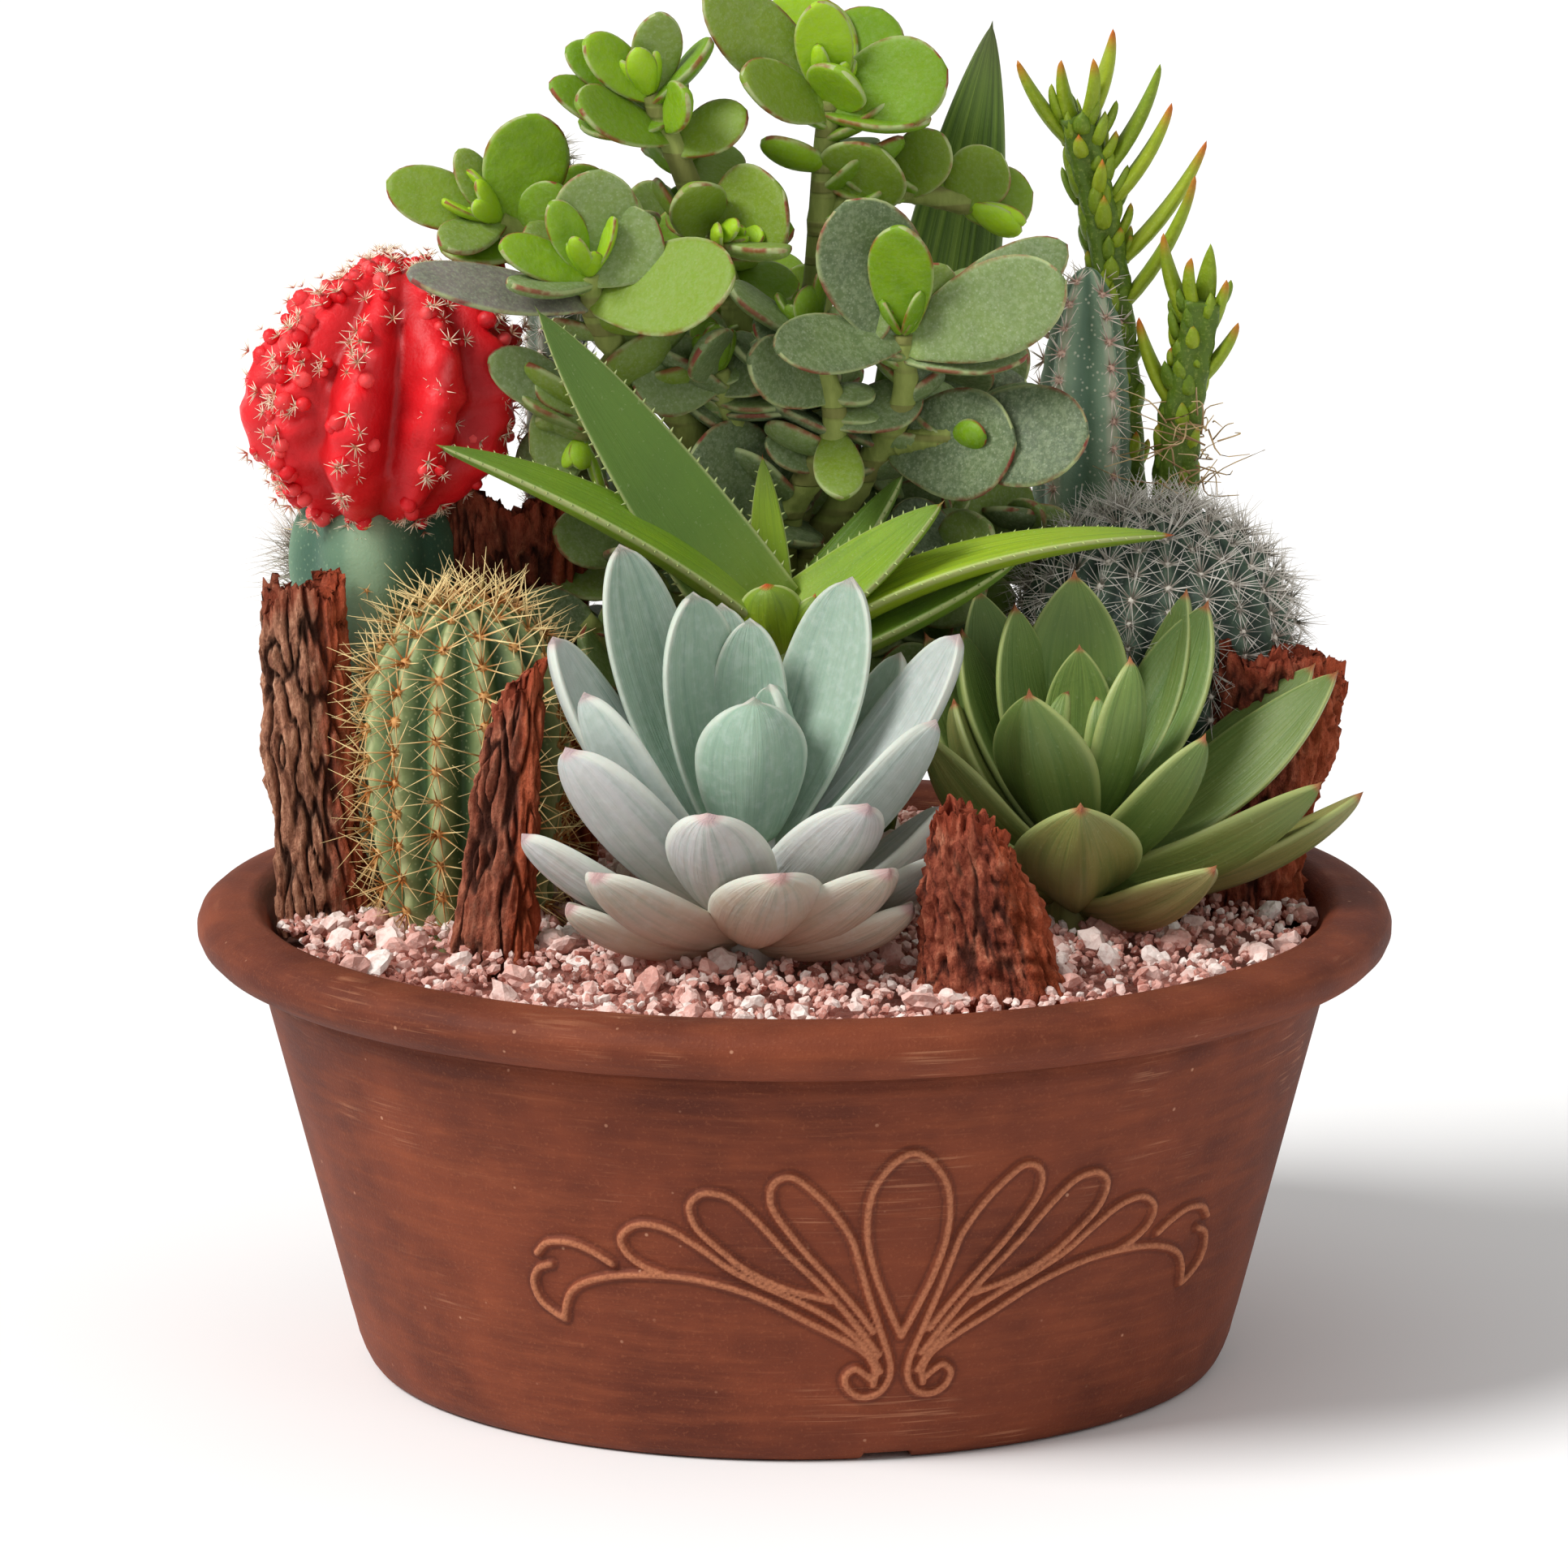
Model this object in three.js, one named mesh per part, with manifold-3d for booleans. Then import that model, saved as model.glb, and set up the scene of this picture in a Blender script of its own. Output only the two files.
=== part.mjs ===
// A planted bowl: a round terracotta bowl filled with potting mix and gravel, holding cacti, two
// leaf rosettes, an aloe, a jade plant and small spurges between pieces of bark.
// Millimetres, +Z up. The origin is on the bowl's axis, in the plane its foot stands on. The front
// of the arrangement faces -Y.
import * as THREE from 'three';
import { mergeVertices } from 'three/addons/utils/BufferGeometryUtils.js';
import Module from 'manifold-3d';

const wasm = await Module();
wasm.setup();

// Driving dimensions
const gap = 0.55; // clearance kept between neighbouring pieces
const rimRadius = 150;
const rimWidth = 18;
const rimHeight = 15;
const bowlHeight = 123;
const wallTopRadius = 135;
const wallThickness = 9;
const cornerRadius = 111;
const footRadius = 107;
const footWidth = 10;
const footHeight = 3;
const footLevel = 5; // all heights below are measured from 5 mm under the foot
const floorThickness = 8;
const drainRadius = 12;
const notchWidth = 11;
const notchAngles = [12, 132, 252]; // degrees round from the front, towards +X
const lowWallHeight = 15;
const soilTop = 92;
const gravelEdge = 116;
const gravelCrown = 121;
const bowlSegments = 36;
const facetTolerance = 0.2; // how far a facet may leave the shape when slivers are cleared

const hollow = footLevel + footHeight; // the underside inside the foot ring
const floorTop = hollow + floorThickness;
const plantBase = soilTop + gap;
const up = new THREE.Vector3(0, 0, 1);

const spot = ([x, y, z]) => new THREE.Vector3(x, y, z);
const radians = THREE.MathUtils.degToRad;

// ---- solids ---------------------------------------------------------------------------------

function toSolid(geometry) {
  const bare = geometry.clone();
  bare.deleteAttribute('normal');
  bare.deleteAttribute('uv');
  const welded = mergeVertices(bare, 1e-4);
  return new wasm.Manifold(new wasm.Mesh({
    numProp: 3,
    vertProperties: new Float32Array(welded.attributes.position.array),
    triVerts: new Uint32Array(welded.index.array),
  }));
}

function toGeometry(solid) {
  const mesh = solid.getMesh();
  const geometry = new THREE.BufferGeometry();
  geometry.setAttribute('position', new THREE.BufferAttribute(mesh.vertProperties, 3));
  geometry.setIndex(new THREE.BufferAttribute(mesh.triVerts, 1));
  geometry.computeVertexNormals();
  return geometry;
}

function join(solids) {
  return solids.reduce((whole, solid) => whole.add(solid));
}

// A solid of revolution about Z from [radius, height] corners.
function turned(corners, segments) {
  const profile = corners.map(([radius, height]) => new THREE.Vector2(radius, height));
  const geometry = new THREE.LatheGeometry(profile, segments);
  geometry.rotateX(Math.PI / 2);
  return geometry;
}

// A closed body drawn out of a sphere: place(t, angle) puts each point, with t running from 0 at
// the lower pole to 1 at the upper one.
function drawnOut(sides, stations, place) {
  const geometry = new THREE.SphereGeometry(1, sides, stations);
  const points = geometry.attributes.position;
  for (let i = 0; i < points.count; i += 1) {
    const height = THREE.MathUtils.clamp(points.getY(i), -1, 1);
    const t = 1 - Math.acos(height) / Math.PI;
    const angle = Math.atan2(points.getZ(i), points.getX(i));
    const point = place(t, angle);
    points.setXYZ(i, point.x, point.y, point.z);
  }
  return toSolid(geometry);
}

// ---- leaves and stems -----------------------------------------------------------------------

// Leaf outlines: width at the root as a share of the full width, where the leaf is widest, how
// blunt the tip is (smaller is blunter), the depth of the channel in its upper face, and how
// finely it is faceted round and along.
const leafForms = {
  spoon: { neck: 0.5, widest: 0.62, taper: 0.6, channel: 0.16, sides: 6, stations: 5 },
  pointed: { neck: 0.7, widest: 0.5, taper: 0.95, channel: 0.2, sides: 6, stations: 5 },
  paddle: { neck: 0.22, widest: 0.62, taper: 0.5, channel: 0.05, sides: 6, stations: 4 },
  strap: { neck: 1, widest: 0.08, taper: 0.8, channel: 0.22, sides: 6, stations: 6 },
  sword: { neck: 0.8, widest: 0.35, taper: 0.9, channel: 0.15, sides: 6, stations: 6 },
  needle: { neck: 0.8, widest: 0.3, taper: 0.9, channel: 0, sides: 4, stations: 4 },
};

function widthAt(form, t) {
  const rise = form.neck + (1 - form.neck) * Math.sin((Math.min(t / form.widest, 1) * Math.PI) / 2);
  const past = Math.max(0, (t - form.widest) / (1 - form.widest));
  return rise * (1 - past ** 2) ** form.taper;
}

// One fleshy leaf from root to tip. facing is where its upper face looks; bow pushes its middle
// away from that face, as a share of its length; sunk is how deep its root sits in the stem.
function leaf({ root, tip, width, thickness, form, facing, bow = 0.12, sunk = 0 }, grow = 0) {
  const along = tip.clone().sub(root);
  const length = along.length();
  along.normalize();
  const face = facing.clone().addScaledVector(along, -facing.dot(along)).normalize();
  const across = along.clone().cross(face);
  const start = root.clone().addScaledVector(along, -sunk - grow);
  const end = tip.clone().addScaledVector(along, 2 * grow);
  const middle = start.clone().lerp(end, 0.5).addScaledVector(face, -bow * length);
  const spine = new THREE.QuadraticBezierCurve3(start, middle, end);
  return drawnOut(form.sides, form.stations, (t, angle) => {
    const half = widthAt(form, t) * width * 0.5;
    const inside = t > 0.001 && t < 0.999;
    const halfWidth = inside ? half + grow : 0;
    const halfThick = inside ? thickness * 0.5 * Math.sqrt(widthAt(form, t)) + grow : 0;
    const tangent = spine.getTangent(t);
    const normal = across.clone().cross(tangent).normalize();
    const lift = form.channel * half * Math.cos(angle) ** 2 + halfThick * Math.sin(angle);
    return spine.getPoint(t).addScaledVector(across, halfWidth * Math.cos(angle))
      .addScaledVector(normal, lift);
  });
}

// Where a ring of a drawn-out body lies on its axis: the first and last rings sit at the very
// ends, so that the body keeps its full width there.
function ringShare(t, stations) {
  return THREE.MathUtils.clamp((t * stations - 1) / (stations - 2), 0, 1);
}

// A round stem along a smooth curve through its points.
function stem(points, rootRadius, tipRadius, grow = 0, sides = 8) {
  const route = new THREE.CatmullRomCurve3(points.map(spot));
  const stations = 3 + points.length;
  return drawnOut(sides, stations, (t, angle) => {
    const along = ringShare(t, stations);
    const tangent = route.getTangent(along);
    const across = new THREE.Vector3(1, 0, 0).cross(tangent).normalize();
    const other = tangent.clone().cross(across);
    const atPole = t < 0.001 || t > 0.999;
    const radius = atPole ? 0 : THREE.MathUtils.lerp(rootRadius, tipRadius, along) + grow;
    const beyond = t < 0.5 ? -grow : grow;
    return route.getPoint(along).addScaledVector(tangent, atPole ? beyond * 2 : beyond)
      .addScaledVector(across, radius * Math.cos(angle))
      .addScaledVector(other, -radius * Math.sin(angle));
  });
}

// An upright ribbed body on the line from foot to top: radiusAt(share) is its size, ribs its
// count and depth the share of the radius that the grooves take.
function ribbed({ foot, top, radiusAt, ribs = 0, depth = 0, sides, stations, turn = 0 }, grow = 0) {
  const axis = new THREE.LineCurve3(spot(foot), spot(top));
  return drawnOut(sides, stations, (t, angle) => {
    const share = ringShare(t, stations);
    const groove = 1 - depth * 0.5 * (1 - Math.cos(ribs * (angle + turn)));
    const inside = t > 0.001 && t < 0.999;
    const radius = inside ? radiusAt(share) * groove + grow : 0;
    const beyond = t > 0.5 ? grow : 0;
    return axis.getPoint(share).add(new THREE.Vector3(
      radius * Math.cos(angle),
      -radius * Math.sin(angle),
      beyond,
    ));
  });
}

// ---- bowl, potting mix and gravel -----------------------------------------------------------

function bowl(grow = 0) {
  const rimInner = rimRadius - rimWidth - grow;
  const rimFloor = bowlHeight - rimHeight;
  const inner = wallTopRadius - wallThickness - grow;
  const profile = [
    [drainRadius, hollow],
    [footRadius - footWidth, hollow],
    [footRadius - footWidth + 1, footLevel],
    [footRadius - 1, footLevel],
    [footRadius + 1, hollow],
    [cornerRadius, lowWallHeight],
    [wallTopRadius, rimFloor],
    [rimRadius - 5, rimFloor + 1],
    [rimRadius, rimFloor + 5.5],
    [rimRadius, rimFloor + 10],
    [rimRadius - 4, bowlHeight - 1],
    [rimRadius - 9, bowlHeight],
    [rimInner + 2, bowlHeight - 1.5],
    [rimInner, bowlHeight - 6],
    [inner, bowlHeight - 17],
    [cornerRadius - wallThickness - grow, floorTop + 8],
    [cornerRadius - wallThickness - 8 - grow, floorTop + grow],
    [drainRadius, floorTop + grow],
    [drainRadius, hollow],
  ];
  let solid = toSolid(turned(profile, bowlSegments));
  for (const angle of notchAngles) {
    const notch = new THREE.BoxGeometry(notchWidth, footWidth * 3, footHeight * 2);
    notch.translate(0, -footRadius + 3, footLevel);
    notch.rotateZ(radians(angle));
    solid = solid.subtract(toSolid(notch));
  }
  return solid;
}

// The inner face of the bowl at a height, less the clearance.
function innerRadius(height) {
  const low = floorTop + 8;
  const high = bowlHeight - 17;
  const share = (height - low) / (high - low);
  const radius = THREE.MathUtils.lerp(cornerRadius, wallTopRadius, share) - wallThickness;
  return radius * Math.cos(Math.PI / bowlSegments) - 2 * gap;
}

function pottingMix() {
  const floor = floorTop + gap;
  const profile = [
    [0, floor],
    [cornerRadius - wallThickness - 9, floor],
    [innerRadius(floor + 8) - 1, floor + 8],
    [innerRadius(soilTop), soilTop],
    [0, soilTop],
  ];
  return toSolid(turned(profile, bowlSegments));
}

// The gravel is heaped a little towards the middle, with soft swells.
function gravelHeight(x, y) {
  const out = Math.hypot(x, y) / (rimRadius - rimWidth);
  const swell = Math.sin(x / 17) * Math.cos(y / 21);
  return gravelEdge + (gravelCrown - gravelEdge) * (1 - out ** 2) + swell * (1 - out);
}

function gravel() {
  const outer = (rimRadius - rimWidth) * Math.cos(Math.PI / bowlSegments) - 2 * gap;
  const rings = [0, 35, 70, 100];
  const profile = [
    [0, plantBase],
    [innerRadius(plantBase), plantBase],
    [innerRadius(bowlHeight - 17), bowlHeight - 17],
    [outer, gravelEdge],
    ...rings.reverse().map((radius) => [radius, gravelEdge + 1]),
  ];
  const geometry = turned(profile, bowlSegments);
  const points = geometry.attributes.position;
  for (let i = 0; i < points.count; i += 1) {
    if (points.getZ(i) > gravelEdge + 0.5) {
      points.setZ(i, gravelHeight(points.getX(i), points.getY(i)));
    }
  }
  return toSolid(geometry);
}

// ---- bark -----------------------------------------------------------------------------------

// A rough split piece standing on the line from foot to top.
function bark({ foot, top, width, depth, turn = 0, taper = 0.85, seed = 1 }, grow = 0) {
  const geometry = new THREE.BoxGeometry(1, 1, 1, 3, 2, 4);
  const points = geometry.attributes.position;
  const axis = new THREE.LineCurve3(spot(foot), spot(top));
  for (let i = 0; i < points.count; i += 1) {
    const [x, y, z] = [points.getX(i), points.getY(i), points.getZ(i)];
    const share = z + 0.5;
    const rough = Math.sin(x * 9 + seed * 3 + z * 7) * Math.cos(y * 11 - z * 8 + seed);
    const swell = THREE.MathUtils.lerp(1, taper, share) * (1 + 0.07 * rough);
    const side = x * (width * swell + 2 * grow);
    const back = y * (depth * swell * (1 - 0.25 * Math.abs(2 * x)) + 2 * grow);
    const end = share > 0.99 ? rough * 5 : 0;
    const reach = share > 0.99 ? grow : 0;
    const at = axis.getPoint(share);
    const turned = new THREE.Vector3(side, back, end + reach).applyAxisAngle(up, radians(turn));
    points.setXYZ(i, at.x + turned.x, at.y + turned.y, at.z + turned.z);
  }
  return toSolid(geometry);
}

const barkPieces = {
  bark_slab_left: {
    foot: [-118, 3, plantBase], top: [-124, 5, 201], width: 24, depth: 13, seed: 1, turn: 8,
  },
  bark_slab_front: {
    foot: [-75, -46, plantBase], top: [-69, -42, 184], width: 20, depth: 11, seed: 2, turn: -12,
  },
  bark_block_front: {
    foot: [48, -84, plantBase], top: [47, -82, 163], width: 37, depth: 21, seed: 3, taper: 0.6,
  },
  bark_chunk_right: {
    foot: [110, 27, plantBase], top: [123, 31, 176], width: 26, depth: 20, seed: 4, taper: 1.35,
  },
  bark_slab_rear: {
    foot: [-68, 38, plantBase], top: [-70, 38, 215], width: 34, depth: 11, seed: 5,
  },
};

// ---- cacti ----------------------------------------------------------------------------------

// The size of a body that swells from its waist at the foot and closes in a dome at the top.
const domed = (radius, waist) => (t) => {
  const swell = waist + (1 - waist) * Math.sin((Math.min(1, t * 1.6) * Math.PI) / 2);
  const past = Math.max(0, (t - 0.62) / 0.38);
  return radius * swell * Math.sqrt(1.02 - past ** 2.4);
};

const cacti = {
  barrel_cactus: {
    foot: [-82, -3, plantBase], top: [-82, -2, 200], radiusAt: domed(25, 0.72),
    ribs: 13, depth: 0.16, sides: 26, stations: 9,
  },
  moon_cactus_rootstock: {
    foot: [-105, 35, plantBase], top: [-107, 34, 216],
    radiusAt: (t) => 24 * (0.8 + 0.2 * t), ribs: 3, depth: 0.4, sides: 12, stations: 6, turn: 0.5,
  },
  woolly_cactus: {
    foot: [92, 45, plantBase], top: [93, 44, 214], radiusAt: domed(37, 0.55),
    ribs: 12, depth: 0.05, sides: 24, stations: 8,
  },
  blue_column_cactus: {
    foot: [72, 82, plantBase], top: [75, 80, 270], radiusAt: domed(14.5, 0.8),
    ribs: 5, depth: 0.2, sides: 20, stations: 8, turn: 0.3,
  },
  white_column_cactus: {
    foot: [-60, 74, plantBase], top: [-61, 72, 306], radiusAt: domed(8, 0.8),
    ribs: 8, depth: 0.1, sides: 16, stations: 8,
  },
  white_haired_cactus: {
    foot: [-93, 61, plantBase], top: [-124, 56, 207], radiusAt: domed(9.5, 0.8),
    ribs: 8, depth: 0.08, sides: 16, stations: 8,
  },
};

// The grafted red head: a lobed ball of clustered offsets with one pup standing on its shoulder.
function moonHead(grow = 0) {
  const ball = ribbed({
    foot: [-105, 32, 211 - grow], top: [-99, 31, 279],
    radiusAt: (t) => 4 + 33 * Math.sin(t * Math.PI) ** 0.55, ribs: 8, depth: 0.12,
    sides: 24, stations: 9, turn: 0.2,
  }, grow);
  const pup = ribbed({
    foot: [-80, 30, 262], top: [-78, 29, 281 - grow],
    radiusAt: (t) => 2 + 7 * Math.sin(t * Math.PI) ** 0.5, sides: 8, stations: 6,
  }, grow);
  return ball.add(pup);
}

// ---- rosettes -------------------------------------------------------------------------------

// Each leaf row: the tip's x, y and z, the height of its root on the stem, and its width.
const blueRosette = {
  centre: [-12, -52],
  stemRadius: 9,
  crown: 150,
  form: leafForms.spoon,
  thickness: 6,
  leaves: [
    [-43, -32, 217, 142, 24],
    [-59, -47, 197, 138, 22],
    [-51, -66, 187, 136, 20],
    [-55, -80, 176, 131, 25],
    [-66, -66, 152, 126, 20],
    [-48, -92, 148, 125, 24],
    [-21, -99, 164, 130, 27],
    [-4, -102, 150, 126, 27],
    [22, -92, 149, 125, 24],
    [37, -68, 147, 124, 20],
    [17, -88, 164, 131, 24],
    [34, -60, 179, 135, 22],
    [40, -44, 197, 139, 22],
    [14, -33, 209, 144, 24],
    [-25, -42, 207, 146, 24],
  ],
  heart: [
    [-55, -78, 137, 123, 20],
    [28, -82, 138, 123, 20],
    [36, -48, 155, 126, 20],
    [26, -26, 189, 140, 20],
    [-11, -38, 200, 148, 18],
    [-18, -24, 201, 143, 20],
    [-10, -64, 185, 148, 26],
    [-6, -50, 186, 150, 16],
  ],
};

const greenRosette = {
  centre: [70, -12],
  stemRadius: 9,
  crown: 152,
  form: leafForms.pointed,
  thickness: 6,
  leaves: [
    [70, 6, 203, 146, 26],
    [58, -30, 180, 142, 27],
    [103, 3, 196, 144, 24],
    [101, -34, 170, 134, 20],
    [130, 10, 179, 134, 20],
    [135, -4, 180, 132, 20],
    [130, -24, 156, 128, 20],
    [70, -56, 157, 127, 30],
    [103, -52, 141, 124, 22],
    [33, -22, 168, 132, 24],
  ],
  heart: [
    [55, 0, 196, 144, 20],
    [42, 4, 189, 138, 20],
    [71, -6, 187, 148, 18],
    [68, -13, 177, 152, 8],
    [83, -22, 187, 146, 18],
    [98, 9, 198, 142, 20],
    [141, -12, 151, 127, 18],
    [40, -6, 173, 134, 22],
  ],
};

function rosetteLeaf(plant, [x, y, z, rootHeight, width], grow = 0) {
  const [centreX, centreY] = plant.centre;
  const outward = new THREE.Vector3(x - centreX, y - centreY, 0).normalize();
  const start = plant.stemRadius * 0.5;
  return leaf({
    root: new THREE.Vector3(centreX, centreY, rootHeight).addScaledVector(outward, start),
    tip: new THREE.Vector3(x, y, z),
    width,
    thickness: plant.thickness,
    form: plant.form,
    facing: outward.clone().negate().addScaledVector(up, 0.3),
    bow: 0.16,
  }, grow);
}

// The stem with its crown and the small leaves still pressed to it.
function rosetteHeart(plant, grow = 0) {
  const [x, y] = plant.centre;
  const axis = stem(
    [[x, y, plantBase], [x, y, 120], [x, y, plant.crown]],
    plant.stemRadius,
    plant.stemRadius * 0.8,
    grow,
    10,
  );
  return join([axis, ...plant.heart.map((row) => rosetteLeaf(plant, row, grow))]);
}

// ---- aloe and sword leaf --------------------------------------------------------------------

// Each row: the tip, the root's height on the crown, the width, how far the leaf bows and where
// its upper face looks.
const aloe = {
  centre: [-4, 6],
  leaves: {
    aloe_leaf_broad: [[-63, -15, 273], 190, 28, 0.04, [0.2, -1, 0.3]],
    aloe_leaf_left: [[-87, -23, 241], 193, 18, -0.1, [0.2, -0.5, 1]],
    aloe_leaf_spike: [[-8, 17, 231], 192, 10, 0, [0, -1, 0.2]],
    aloe_leaf_blunt: [[36, -10, 224], 191, 18, 0.05, [-0.4, -0.8, 0.8]],
    aloe_leaf_right: [[93, -8, 216], 186, 15, -0.18, [-0.2, -0.4, 1]],
    aloe_leaf_rear: [[27, 24, 225], 190, 14, 0.02, [-0.5, -0.6, 1]],
    aloe_leaf_low: [[55, -6, 209], 180, 11, 0.06, [-0.2, -0.4, 1]],
  },
};

function aloeCrown(grow = 0) {
  const [x, y] = aloe.centre;
  const trunk = stem([[x, y + 6, plantBase], [x, y + 3, 140], [x, y, 192]], 8, 9, grow, 10);
  const cup = leaf({
    root: new THREE.Vector3(x, y - 4, 184),
    tip: new THREE.Vector3(x - 3, y - 14, 203),
    width: 15,
    thickness: 6,
    form: leafForms.spoon,
    facing: new THREE.Vector3(0, 1, 0.2),
  }, grow);
  return trunk.add(cup);
}

function aloeLeaf([tip, rootHeight, width, bow, facing], grow = 0) {
  const [x, y] = aloe.centre;
  const outward = new THREE.Vector3(tip[0] - x, tip[1] - y, 0).normalize();
  return leaf({
    root: new THREE.Vector3(x, y, rootHeight).addScaledVector(outward, 4),
    tip: spot(tip),
    width,
    thickness: Math.min(7, width * 0.5),
    form: leafForms.strap,
    facing: spot(facing),
    bow,
  }, grow);
}

function swordLeaf(grow = 0) {
  return leaf({
    root: new THREE.Vector3(12, 76, plantBase),
    tip: new THREE.Vector3(50, 68, 334 - grow),
    width: 24,
    thickness: 7,
    form: leafForms.sword,
    facing: new THREE.Vector3(0, -1, 0),
    bow: 0.01,
  }, grow);
}

// ---- spurges --------------------------------------------------------------------------------

// Narrow leaf rows: share of the way up the stem, then the tip.
const spurges = {
  spurge_tall: {
    route: [[87, 82, plantBase], [86, 86, 180], [81, 86, 262], [72, 83, 308]],
    radius: 6.5,
    leaves: [
      [0.93, [57, 80, 322]], [0.95, [68, 80, 322]], [0.97, [76, 76, 323]], [0.97, [81, 80, 330]],
      [0.86, [93, 80, 321]], [0.8, [96, 80, 311]], [0.7, [105, 82, 301]], [0.64, [102, 76, 293]],
    ],
  },
  spurge_short: {
    route: [[97, 72, plantBase], [99, 77, 170], [98, 76, 222], [104, 72, 262]],
    radius: 7,
    leaves: [
      [0.93, [94, 70, 279]], [0.97, [101, 68, 273]], [0.95, [106, 72, 276]], [0.9, [110, 70, 267]],
      [0.8, [113, 70, 256]], [0.75, [88, 72, 257]],
    ],
  },
};

function spurge({ route, radius, leaves }, grow = 0) {
  const line = new THREE.CatmullRomCurve3(route.map(spot));
  const blades = leaves.map(([share, tip]) => leaf({
    root: line.getPoint(share),
    tip: spot(tip),
    width: 6,
    thickness: 3,
    form: leafForms.needle,
    facing: new THREE.Vector3(0, -1, 0.3),
    bow: 0.06,
    sunk: 2,
  }, grow));
  return join([stem(route, radius, radius * 0.8, grow), ...blades]);
}

// ---- jade plant -----------------------------------------------------------------------------

const jadeTrunk = {
  route: [[-2, 58, plantBase], [-6, 56, 150], [0, 52, 200], [2, 48, 236]],
  rootRadius: 10,
  tipRadius: 6,
};

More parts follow.
